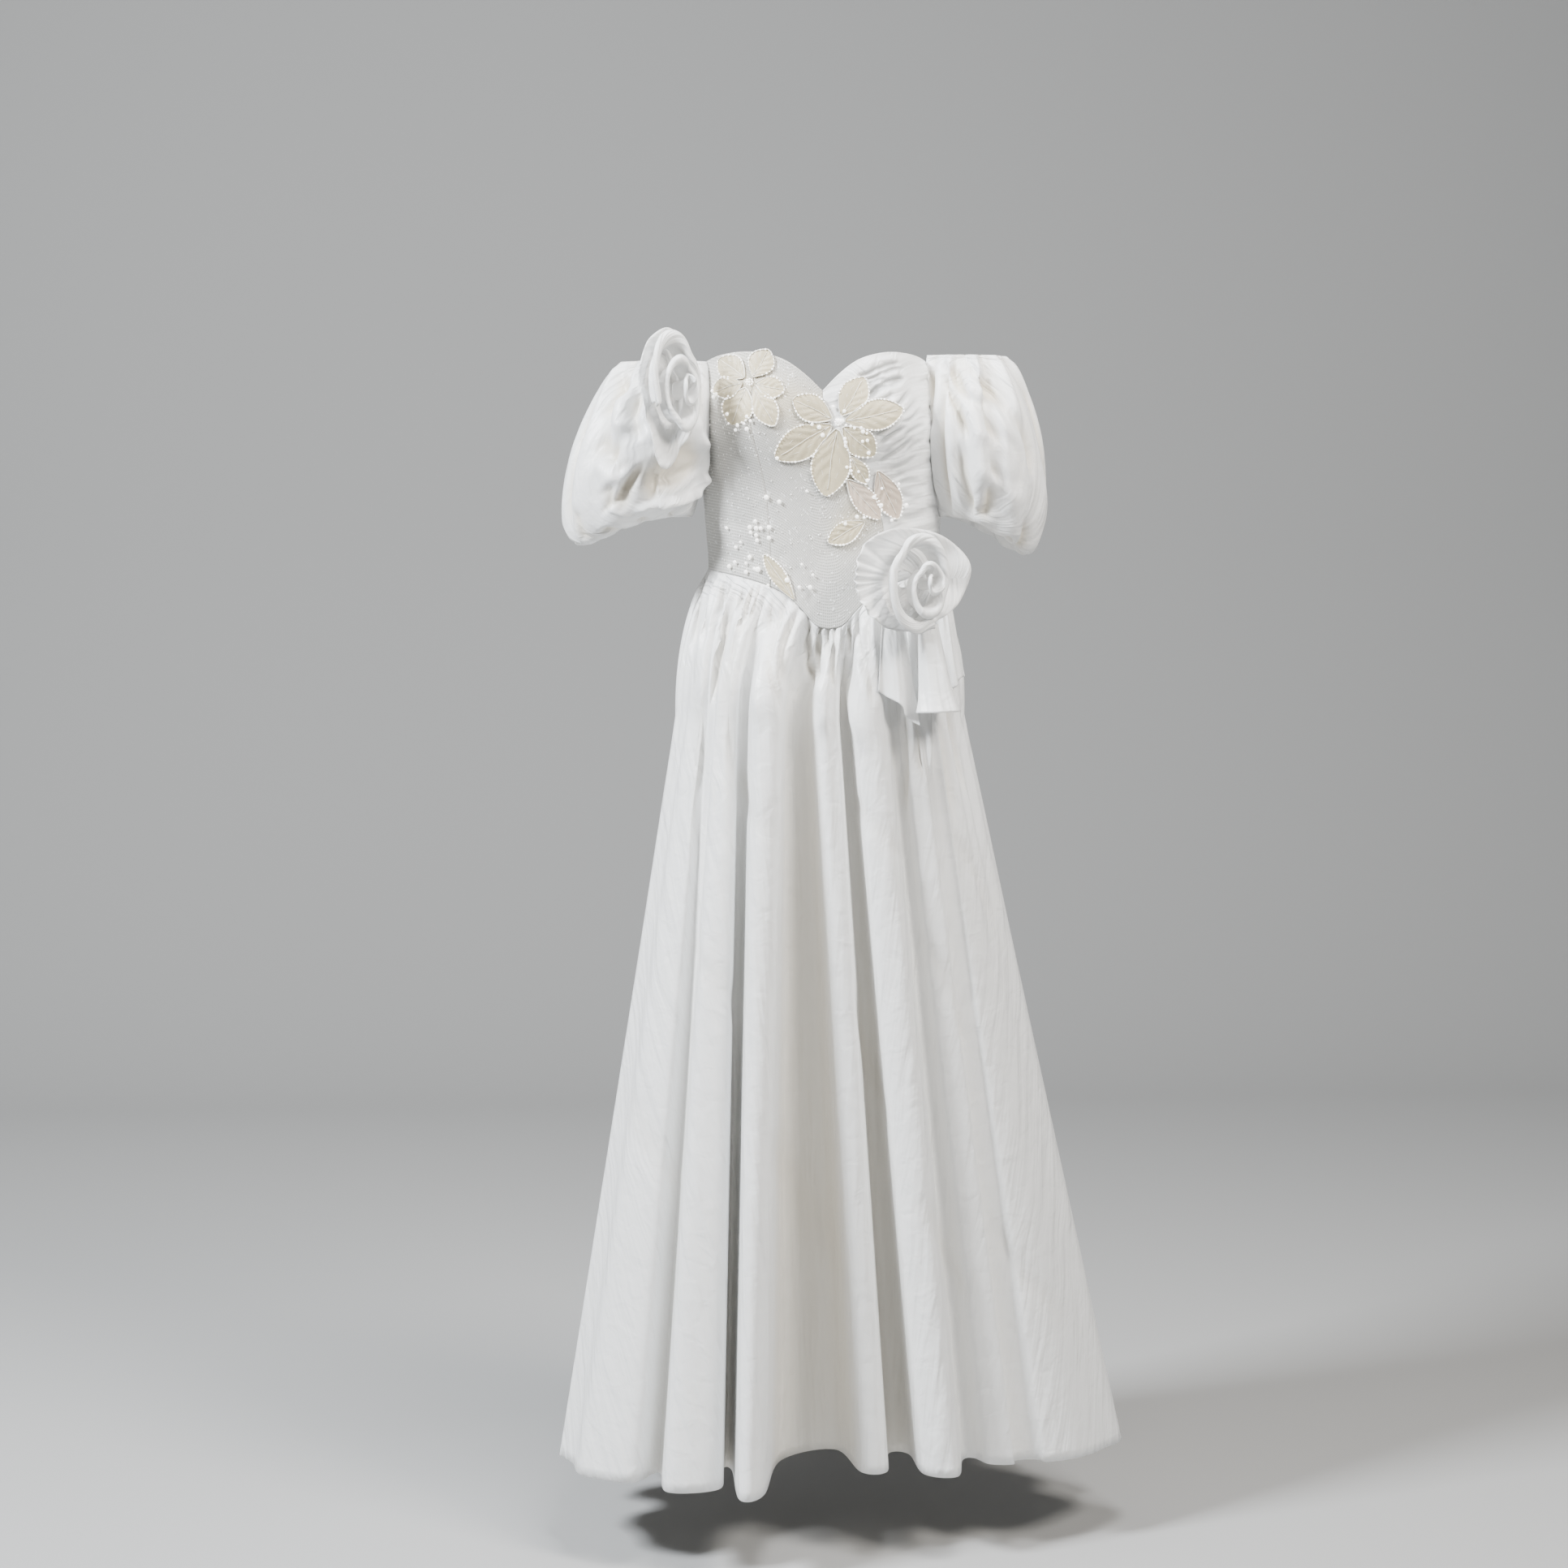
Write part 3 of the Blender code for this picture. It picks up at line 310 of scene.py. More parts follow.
def uv_vector(nodes):
    """Places on the cloth as it is laid flat, in metres."""
    return nodes.new("ShaderNodeTexCoord").outputs["UV"]


def add_weave(nodes, links, vector, threads, patch):
    weave = nodes.new("ShaderNodeGroup")
    weave.node_tree = WEAVE
    weave.inputs["Threads per Metre"].default_value = threads
    weave.inputs["Patch"].default_value = patch
    links.new(vector, weave.inputs["Vector"])
    return weave


def bump_node(nodes, links, height, depth, under=None):
    """Raises the shading by a height in metres, over an earlier bump if there is one."""
    bump = nodes.new("ShaderNodeBump")
    bump.inputs["Strength"].default_value = 1.0
    bump.inputs["Distance"].default_value = depth
    links.new(height, bump.inputs["Height"])
    if under is not None:
        links.new(under, bump.inputs["Normal"])
    return bump.outputs["Normal"]


def mix_node(nodes, links, share, first, second, blend="MIX"):
    """The first colour with a share of the second. Each is three numbers, or a socket to link."""
    mix = nodes.new("ShaderNodeMix")
    mix.data_type, mix.blend_type = "RGBA", blend
    if isinstance(share, float):
        mix.inputs["Factor"].default_value = share
    else:
        links.new(share, mix.inputs["Factor"])
    for socket, colour in ((mix.inputs[6], first), (mix.inputs[7], second)):
        if isinstance(colour, tuple):
            socket.default_value = (*colour, 1)
        else:
            links.new(colour, socket)
    return mix.outputs[2]


def shaded_colour(nodes, links, colour, shade):
    """The colour times a grey value."""
    return mix_node(nodes, links, 1.0, colour, shade, blend="MULTIPLY")


def net_and_painted_shade_share(nodes):
    """How far each point of the cloth takes on its material's second colour: the champagne net on the lace,
    painted shade in the folds of the satin.
    """
    net_and_painted_shade_marks = nodes.new("ShaderNodeAttribute")
    net_and_painted_shade_marks.attribute_name = "net_and_painted_shade"
    return net_and_painted_shade_marks.outputs["Fac"]


LACE_COLOUR = (0.40, 0.39, 0.36)
LACE_LINE = (0.78, 0.77, 0.74)
NET_COLOUR = (0.55, 0.495, 0.375)              # champagne net that backs the flowers
# middle of each patch of net in x and height, and how far it spreads
NET_PATCHES = [(-0.086, 0.208, 0.030), (-0.040, 0.190, 0.026), (0.014, 0.163, 0.036), (0.050, 0.150, 0.030),
               (0.050, 0.090, 0.024), (0.070, 0.080, 0.024), (0.030, 0.050, 0.020)]
# Painted glint: the whiter colour that a few sequin discs get, standing in for light they throw back
PAINTED_SEQUIN_GLINT = (0.97, 0.97, 0.96)
LADDER_COLUMN, LADDER_ROW = 0.0046, 0.0068     # spacing of the lace's woven ladder


def lace_material():
    """Satin under lace: upright ribs and rungs of thread, and small flat tilted sequins, a few of them with a
    painted glint in a whiter colour, all on the cloth's own UV. Its second colour is the champagne net behind
    the flowers."""
    made, nodes, links, shader = new_material("sequinned_lace")
    uv = uv_vector(nodes)
    weave = add_weave(nodes, links, uv, 1100.0, 0.05)
    split = nodes.new("ShaderNodeSeparateXYZ")
    links.new(uv, split.inputs[0])
    ribs = []
    for axis, pitch in (("X", LADDER_COLUMN), ("Y", LADDER_ROW)):
        turned = math_node(nodes, links, "MULTIPLY", split.outputs[axis], 2 * math.pi / pitch)
        wave = math_node(nodes, links, "SINE", turned)
        ribs.append(math_node(nodes, links, "POWER", math_node(nodes, links, "ABSOLUTE", wave), 3.0))
    ladder = math_node(nodes, links, "MAXIMUM", *ribs)
    cells = nodes.new("ShaderNodeTexVoronoi")
    cells.inputs["Scale"].default_value = 330.0
    cells.inputs["Randomness"].default_value = 0.75
    links.new(uv, cells.inputs["Vector"])
    tone = nodes.new("ShaderNodeSeparateColor")
    links.new(cells.outputs["Color"], tone.inputs[0])
    # Painted glint: a few discs, picked at random by their cell's tone, are painted whiter and made smoother
    disc = math_node(nodes, links, "LESS_THAN", cells.outputs["Distance"], 0.40)
    shiny = math_node(nodes, links, "GREATER_THAN", tone.outputs[0], 0.90)
    glint = math_node(nodes, links, "MULTIPLY", disc, shiny)
    line = math_node(nodes, links, "MULTIPLY", ladder, 0.75)
    colour = mix_node(nodes, links, line, LACE_COLOUR, LACE_LINE)
    colour = mix_node(nodes, links, net_and_painted_shade_share(nodes), colour, NET_COLOUR)
    colour = shaded_colour(nodes, links, colour, weave.outputs["Shade"])
    links.new(mix_node(nodes, links, glint, colour, PAINTED_SEQUIN_GLINT), shader.inputs["Base Color"])
    links.new(math_node(nodes, links, "SUBTRACT", 0.55, math_node(nodes, links, "MULTIPLY", glint, 0.40)),
              shader.inputs["Roughness"])
    shader.inputs["Sheen Weight"].default_value = 0.12
    shader.inputs["Sheen Roughness"].default_value = 0.4
    tilt = math_node(nodes, links, "MULTIPLY", disc, tone.outputs[1])
    rough = bump_node(nodes, links, weave.outputs["Height"], 0.00008)
    ribbed = bump_node(nodes, links, ladder, 0.00025, rough)
    links.new(bump_node(nodes, links, tilt, 0.00018, ribbed), shader.inputs["Normal"])
    return made


LACE = lace_material()


def right_side(share):
    return -90.0 + 0 * share


def left_side(share):
    return 90.0 + 0 * share


def princess_seam(share):
    return -36.0 - 2.0 * share


DRAPE_FOOT = 36.0       # azimuth where the slanting seam meets the waist
SEAM_EDGE = 0.08        # degrees that a panel stops short of its seam


def drape_seam(share):
    """From the neckline's notch slantwise down to the front of the hip, along an S curve."""
    return DRAPE_FOOT * smooth(1.0, 0.18, share) * (1 - 0.12 * share)


def panel_spots(left, right, columns, rows):
    """Azimuth, share of the way up and height of each point of a panel between two seams. A seam is an
    azimuth for each share of the way from the waist to the neckline."""
    share = np.linspace(0, 1, rows)[:, None] + np.zeros((1, columns))
    across = np.linspace(0, 1, columns)[None, :]
    azimuth = (left(share) + SEAM_EDGE) * (1 - across) + (right(share) - SEAM_EDGE) * across
    low, high = waist_seam(azimuth) + SEAM_GAP / 2, top_edge(azimuth)
    return azimuth, share, low + (high - low) * share


# Strain and ease in the lace, in millimetres along azimuth (2.3 mm a degree) and height
LACE_CREASES = [
    (-180, 20, -120, 8, 6, 1.2), (-170, 60, -105, 52, 7, 0.9), (-150, 100, -100, 118, 8, 1.0),
    (-90, -10, -60, 22, 7, 0.9), (-60, -25, -44, 10, 6, 0.8), (40, -30, 62, 6, 6, 0.8),
    (-30, -45, -22, -10, 6, 0.8), (-130, 165, -102, 150, 9, 1.0), (-60, 120, -30, 132, 8, 0.7),
    (-200, 120, -165, 128, 8, 1.0), (20, 60, 60, 70, 8, 0.6), (-20, 20, 20, 24, 9, 0.5),
]
METRES_A_DEGREE = 0.0023


def lace_relief(azimuth, share, height):
    """The lace sinks along its creases and at its seams, and stands up a little at the turned neckline."""
    creased = -troughs(azimuth * METRES_A_DEGREE, height, LACE_CREASES)
    seam = -0.0005 * np.exp(-((azimuth - princess_seam(share)) / 0.7) ** 2)
    turned = 0.0006 * smooth(0.985, 1.0, share)
    return creased + seam + turned


# node, its two seams, columns, cut width and length, cut area
for node, left, right, columns, cut, cut_area in (
        ("bodice_front", princess_seam, drape_seam, 80, (0.173, 0.310), 0.0311),
        ("bodice_side_right", right_side, princess_seam, 64, (0.130, 0.272), 0.0308)):
    azimuth, share, height = panel_spots(left, right, columns, 110)
    grid = body(azimuth, height, lace_relief(azimuth, share, height))
    net = sum(np.exp(-((grid[..., 0] - x) ** 2 + (height - z) ** 2) / spread ** 2)
              for x, z, spread in NET_PATCHES)
    lace = cloth(node + "_lace", grid, LACE, net_and_painted_shade_marks=np.clip(0.9 * net, 0, 0.85))
    stands_for(lace, node)


# Bodice backs: two plain panels of the same sequinned lace, from the side seams to the zip.
# They close at the centre back, where each is turned under along the zip's tape.

ZIP_WIDTH, BACK_RADIUS = 0.0062, 0.094
BACK_CREASES = [
    (240, 12, 330, 20, 8, 1.2), (232, 60, 300, 40, 9, 1.0), (250, 150, 330, 160, 10, 1.0),
    (350, 40, 400, 26, 8, 1.1), (340, 110, 396, 96, 9, 0.9), (-240, 14, -322, 24, 8, 1.2),
    (-236, 70, -310, 52, 9, 1.0), (-255, 140, -330, 154, 9, 1.0), (-352, 44, -400, 30, 8, 1.0),
    (-344, 116, -398, 104, 9, 0.9),
]


def zip_side(side):
    """The azimuth of the panel's edge beside the zip: half the zip's width over the back's radius."""
    reach = math.degrees((ZIP_WIDTH / 2 + SEAM_GAP) / BACK_RADIUS)
    return lambda share: side * (180.0 - reach) + 0 * share


def back_relief(azimuth, share, height):
    turned = 0.0006 * smooth(0.985, 1.0, share)
    return turned - troughs(azimuth * METRES_A_DEGREE, height, BACK_CREASES)


for node, left, right in (("bodice_back_left", left_side, zip_side(1)),
                          ("bodice_back_right", zip_side(-1), right_side)):
    azimuth, share, height = panel_spots(left, right, 64, 80)
    lace = cloth(node + "_lace", body(azimuth, height, back_relief(azimuth, share, height)), LACE)
    stands_for(lace, node)


# Draped side of the bodice: soft white satin gathered into the slanting seam and the side seam, so that its
# folds fan out over the left cup and lie nearly level below it.

DRAPE_FOLDS, FOLD_HEIGHT = 10, 0.0024
# Painted shade: how dark the draped satin's hollows are painted, as a share of its second colour
DRAPE_PAINTED_SHADE_DARKNESS, DEEPEST_HOLLOW = 0.85, 0.0034       # how dark a hollow gets, and the depth where it does
EASED_FROM, EASED_TO, EASED_SHARE = 42, 54, 0.55  # azimuths where the folds flatten under the sleeve
SATIN_COLOUR = (0.875, 0.878, 0.872)
# Painted shade colours, mixed into the satin deep in its folds: warm beige, and bluish grey on the drape
SATIN_PAINTED_SHADE_COLOUR = (0.70, 0.635, 0.51)
DRAPE_PAINTED_SHADE_COLOUR = (0.47, 0.48, 0.48)


def satin_material(name, colour, hollow, run, threads=1400.0):
    """Satin: smooth floats with a soft gleam, faint slubs, small unpressed dimples, long ripples that run
    along its folds, and painted shade deep in the folds, in the hollow colour that stands for the cloth lit
    only by itself there. The run stretches the ripples: a small value along the way they run."""
    made, nodes, links, shader = new_material(name)
    uv = uv_vector(nodes)
    weave = add_weave(nodes, links, uv, threads, 0.05)
    # Painted shade: the hollow colour is mixed in as far as the cloth's attribute says
    toned = mix_node(nodes, links, net_and_painted_shade_share(nodes), colour, hollow)
    toned = shaded_colour(nodes, links, toned, weave.outputs["Shade"])
    links.new(toned, shader.inputs["Base Color"])
    dimples = noise_node(nodes, links, uv, 42.0, detail=2.5, distortion=0.6)
    ripples = noise_node(nodes, links, stretched(nodes, links, uv, run), 62.0, distortion=0.3)
    gleam = math_node(nodes, links, "MULTIPLY", dimples, 0.16)
    links.new(math_node(nodes, links, "ADD", gleam, 0.32), shader.inputs["Roughness"])
    shader.inputs["Specular IOR Level"].default_value = 0.5
    shader.inputs["Sheen Weight"].default_value = 0.12
    shader.inputs["Sheen Roughness"].default_value = 0.35
    fine = bump_node(nodes, links, weave.outputs["Height"], 0.00003)
    rippled = bump_node(nodes, links, ripples, 0.0042, fine)
    links.new(bump_node(nodes, links, dimples, 0.0016, rippled), shader.inputs["Normal"])
    return made


SATIN = satin_material("satin", SATIN_COLOUR, SATIN_PAINTED_SHADE_COLOUR, (1.0, 0.11, 1.0))
SATIN_ACROSS = satin_material("satin_across", SATIN_COLOUR, DRAPE_PAINTED_SHADE_COLOUR, (0.16, 1.3, 1.0))
# Hollows between its folds: azimuth (2.3 mm a degree) and height
DRAPE_CREASES = [
    (48, 219, 74, 228, 2.4, 3.8), (72, 228, 105, 236, 2.4, 3.2), (54, 213, 80, 224, 2.2, 3.8),
    (79, 223, 108, 230, 2.4, 3.0), (50, 208, 81, 217, 2.2, 3.2), (49, 193, 74, 210, 2.6, 4.6),
    (73, 209, 104, 220, 2.6, 3.8), (58, 199, 87, 210, 2.4, 3.6), (85, 210, 108, 217, 3.0, 2.6),
    (62, 190, 86, 199, 2.6, 3.0), (70, 176, 112, 203, 2.6, 4.2), (84, 172, 122, 196, 2.2, 2.6),
    (64, 161, 92, 180, 2.2, 3.0), (90, 166, 124, 184, 2.6, 3.2), (61, 151, 84, 168, 2.4, 3.4),
    (66, 143, 94, 164, 2.6, 4.4), (94, 152, 124, 168, 3.0, 3.0), (72, 133, 98, 152, 2.2, 2.4),
    (68, 121, 106, 150, 3.0, 4.4), (100, 136, 124, 148, 2.8, 2.4), (60, 146, 108, 180, 3.0, -1.6),
    (82, 112, 116, 130, 3.2, 2.8), (78, 99, 104, 110, 3.6, 1.8), (94, 98, 124, 104, 3.4, 1.6),
    (96, 86, 132, 82, 4.0, 2.0), (100, 72, 126, 76, 3.4, 1.4), (104, 58, 134, 62, 4.0, 1.8),
    (110, 40, 140, 44, 3.6, 1.6), (112, 22, 150, 28, 4.0, 2.0), (140, 74, 176, 70, 3.6, 2.4),
    (130, 8, 176, 12, 3.4, 2.4), (128, 214, 190, 222, 3.0, 3.0), (140, 188, 196, 184, 3.4, 3.5),
    (136, 166, 196, 170, 3.2, 3.1), (134, 148, 194, 146, 3.4, 3.5), (140, 126, 196, 130, 3.2, 3.0),
    (150, 108, 196, 106, 3.4, 3.2),
]


def between_seams(azimuth, share):
    """1 on the draped panel, falling to 0 at its slanting seam and at its side seam."""
    from_seam = (azimuth - drape_seam(share)) / 12.0
    to_side = (90.0 - azimuth) / 9.0
    return np.clip(from_seam, 0, 1) * np.clip(to_side, 0, 1)


def drape_relief(azimuth, share, height):
    """Broad ridges that fan up and outwards from the slanting seam, parted by the hollows of the table. The
    second value is how deep each point lies in a hollow, from 0 to 1, and sets the painted shade there."""
    slant = (azimuth - drape_seam(share)) / 90.0
    fan = np.cos(2 * math.pi * DRAPE_FOLDS * (share - 0.16 * slant * (0.3 + share)))
    reach = between_seams(azimuth, share) * smooth(0.0, 0.04, share) * smooth(1.0, 0.965, share)
    crease = troughs(azimuth * METRES_A_DEGREE, height, DRAPE_CREASES)
    crease = crease * (1 - EASED_SHARE * smooth(EASED_FROM, EASED_TO, azimuth))
    return reach * (FOLD_HEIGHT * (1.0 + 0.16 * fan) - crease), reach * np.clip(crease / DEEPEST_HOLLOW, 0, 1)


azimuth, share, height = panel_spots(drape_seam, left_side, 120, 220)
# The drape's hollows get painted shade
raised, drape_painted_shade_mask = drape_relief(azimuth, share, height)
drape = cloth("bodice_drape_satin", body(azimuth, height, raised), SATIN_ACROSS,
              net_and_painted_shade_marks=DRAPE_PAINTED_SHADE_DARKNESS * drape_painted_shade_mask)
stands_for(drape, "bodice_drape_left")


# Skirt: three panels of heavy satin, gathered into the pointed waist and sewn together at the sides and the
# centre back. Below the hip the folds hang straight, each a ridge and a hollow, to a narrow turned hem.

# Each row is a ridge or the hollow after it, going round from the front by azimuth, in millimetres:
# x and y at the hip, half its breadth there, x and y at the hem, half its breadth there
SKIRT_TURNS = np.array([
    (2, -127, 11, 60, -120, 15),       # front ridge beside the point
    (26, -101, 4, 96, -54, 12),
    (50, -134, 14, 136, -138, 20),     # broad ridge under the hip rose
    (80, -106, 5, 176, -80, 8),
    (100, -116, 9, 212, -102, 14),     # wide side panel with one soft hollow
    (120, -102, 6, 242, -88, 12),
    (137, -90, 8, 284, -92, 17),
    (153, -64, 8, 334, -60, 16),
    (170, -26, 12, 369, -4, 18),       # outline on the wearer's left
    (163, 14, 6, 340, 44, 12),
    (168, 46, 10, 334, 104, 22),
    (146, 72, 6, 270, 122, 18),
    (138, 102, 12, 266, 196, 26),
    (110, 104, 7, 204, 172, 20),
    (96, 132, 13, 190, 250, 27),
    (66, 122, 7, 132, 204, 20),
    (50, 148, 12, 106, 281, 27),
    (25, 128, 7, 55, 224, 20),
    (0, 152, 14, 8, 288, 28),          # centre back
    (-26, 127, 7, -46, 226, 18),
    (-51, 146, 12, -90, 272, 24),
    (-72, 118, 7, -124, 196, 16),
    (-96, 126, 12, -166, 238, 24),
    (-110, 98, 7, -186, 162, 18),
    (-134, 94, 11, -240, 178, 24),
    (-140, 60, 6, -238, 108, 16),
    (-160, 38, 10, -290, 92, 20),
    (-154, 8, 6, -272, 40, 12),
    (-164, -20, 9, -302, -8, 18),      # outline on the wearer's right
    (-156, -46, 6, -296, -52, 14),
    (-144, -78, 9, -252, -124, 32),
    (-128, -88, 5, -193, -110, 5),
    (-110, -114, 10, -153, -173, 30),
    (-90, -99, 5, -111, -100, 6),
    (-66, -140, 15, -88, -202, 16),    # narrow front ridge, the lowest at the hem
    (-28, -98, 11, -12, -50, 38),      # deep hollow between the legs
]) / 1000.0
HIP_HEIGHT, HEM_HEIGHT = -0.170, -1.050
HIP_SHARE = 0.155                      # how far down the skirt its hip ring is
SIDE_TURN, BACK_TURN, OTHER_SIDE_TURN = 17.0, 36.5, 57.0
GATHERS, GATHER_DEPTH = 36, 0.0038
SMALL_GATHER, SLOW_SWELL = 0.0020, 0.0022
WAIST_FLATNESS = 0.85                  # depth over width of the oval that the gathers stand out from
SKIRT_COLUMNS_A_POINT, SKIRT_ROWS = 10, 112
SEAM_STOP = 0.06                       # share of a column that a panel stops short of its seam
# Painted shade in the skirt's valleys and creases: how dark it gets, and the depths where it is full
SKIRT_PAINTED_SHADE_DARKNESS, DEEPEST_VALLEY, DEEPEST_CREASE = 0.45, 0.045, 0.005
# Soft creases across and beside the folds: point number (20 mm each) and height
SKIRT_CREASES = [
    (-240, -140, -200, -330, 8, 2.3), (-120, -230, -60, -300, 9, 2.1), (60, -260, 120, -330, 9, 2.1),
    (-180, -420, -120, -520, 10, 2.1), (20, -480, 70, -640, 9, 2.0), (150, -420, 210, -560, 10, 2.3),
    (240, -300, 300, -420, 10, 2.1), (-260, -600, -190, -720, 11, 2.2), (-60, -640, -10, -820, 10, 2.0),
    (90, -720, 160, -860, 10, 2.1), (210, -760, 280, -900, 10, 2.2), (380, -260, 440, -420, 11, 2.2),
    (520, -320, 580, -520, 11, 2.2), (650, -280, 720, -430, 10, 2.1), (780, -340, 830, -520, 11, 2.3),
    (920, -260, 980, -400, 10, 2.2), (1040, -420, 1090, -600, 11, 2.2), (450, -640, 520, -820, 11, 2.1),
    (600, -700, 660, -900, 11, 2.2), (860, -680, 930, -860, 11, 2.1), (1000, -760, 1070, -930, 11, 2.1),
]
# Narrow gathers and soft hollows below the waist seam, in the same way
WAIST_CREASES = [
    (-217, -16, -185, -100, 4.0, 6.2), (-180, -43, -187, -154, 7, 7.8), (-174, -22, -145, -70, 3.6, 6.8),
    (-155, -20, -141, -62, 3.2, 6.8), (-144, -18, -138, -56, 2.8, 5.3), (-215, -145, -214, -260, 8, 6.5),
    (-205, -14, -192, -50, 3.0, 5.3), (-247, -16, -224, -80, 3.6, 5.3), (-110, -36, -78, -95, 3.4, 5.0),
    (-91, -38, -61, -150, 3.6, 7.1), (-71, -48, -58, -130, 4.4, 9.3), (-51, -56, -12, -130, 3.4, 7.8),
    (-30, -62, -3, -122, 3.0, 9.3), (-16, -64, 6, -98, 2.8, 5.9), (3, -66, 18, -130, 3.4, 8.7),
    (18, -66, 30, -94, 2.4, 5.6), (38, -62, 50, -96, 2.4, 6.8), (66, -58, 88, -120, 3.0, 5.6),
    (84, -50, 92, -150, 4.0, 6.8), (178, -150, 180, -235, 6, 7.4), (222, -150, 194, -235, 5, -5.3),
    (164, -150, 138, -280, 8, 5.3), (278, -130, 288, -260, 8, 5.6), (248, -170, 252, -290, 7, 5.0),
    (-154, -60, -141, -250, 9, 6.5), (-101, -58, -71, -170, 8, -4.3), (2, -120, 6, -185, 6, -4.7),
    (50, -88, 84, -200, 9, -4.7), (110, -30, 122, -90, 3.4, 6.2), (132, -24, 140, -70, 3.0, 5.3),
    (150, -18, 164, -96, 3.6, 6.5), (176, -14, 186, -60, 3.0, 5.3), (200, -12, 214, -90, 3.8, 6.5),
    (232, -10, 240, -60, 3.2, 5.3), (262, -10, 276, -96, 3.8, 6.8), (290, -10, 298, -64, 3.2, 5.3),
    (322, -10, 334, -90, 3.6, 6.5), (352, -10, 358, -60, 3.0, 5.3), (384, -10, 398, -96, 3.8, 6.8),
    (414, -10, 420, -58, 3.2, 5.3), (446, -10, 458, -90, 3.6, 6.5), (476, -10, 484, -62, 3.0, 5.3),
    (508, -10, 522, -98, 3.8, 6.8), (540, -10, 546, -60, 3.2, 5.3), (572, -10, 584, -92, 3.6, 6.5),
    (604, -10, 610, -58, 3.0, 5.3), (640, -10, 652, -94, 3.8, 6.8), (676, -10, 682, -60, 3.2, 5.3),
    (766, -10, 778, -92, 3.6, 6.5), (800, -10, 806, -58, 3.0, 5.3), (834, -10, 846, -96, 3.8, 6.8),
    (868, -10, 874, -60, 3.2, 5.3), (902, -10, 914, -90, 3.6, 6.5), (936, -10, 942, -62, 3.0, 5.3),
    (968, -10, 982, -96, 3.8, 6.8), (1002, -10, 1008, -58, 3.2, 5.3), (1036, -10, 1050, -94, 3.6, 6.5),
    (1072, -12, 1078, -60, 3.0, 5.3), (1104, -12, 1118, -98, 3.8, 6.8), (1140, -14, 1146, -62, 3.2, 5.3),
    (1168, -14, 1180, -90, 3.6, 6.2),
]
POINT_LENGTH = 0.020


def closed_spline(points, at):
    """A smooth closed curve through the points, read at fractional point numbers (Catmull-Rom)."""
    count = len(points)
    i = np.floor(at).astype(int)
    t = (at - i)[:, None]
    before, here, after, beyond = (points[(i + k) % count] for k in (-1, 0, 1, 2))
    return 0.5 * (2 * here + (after - before) * t
                  + (2 * before - 5 * here + 4 * after - beyond) * t ** 2
                  + (3 * here - before - 3 * after + beyond) * t ** 3)


def ring_of_turns(points, breadth):
    """Two points for each ridge and hollow, set apart along the line that joins its neighbours."""
    ahead = np.roll(points, -1, axis=0) - np.roll(points, 1, axis=0)
    ahead = ahead / np.linalg.norm(ahead, axis=1, keepdims=True)
    pairs = np.stack([points - ahead * breadth[:, None], points + ahead * breadth[:, None]], axis=1)
    return pairs.reshape(-1, 2)


def normals_of(grid):
    """Outward unit normals of a closed grid whose rows run upwards and whose columns run round."""
    round_it = np.roll(grid, -1, axis=1) - np.roll(grid, 1, axis=1)
    normal = np.cross(round_it, np.gradient(grid, axis=0))
    return normal / np.linalg.norm(normal, axis=2, keepdims=True)


HIP_RING = ring_of_turns(SKIRT_TURNS[:, 0:2], SKIRT_TURNS[:, 2])
HEM_RING = ring_of_turns(SKIRT_TURNS[:, 3:5], SKIRT_TURNS[:, 5])
RING_POINTS = len(HIP_RING)


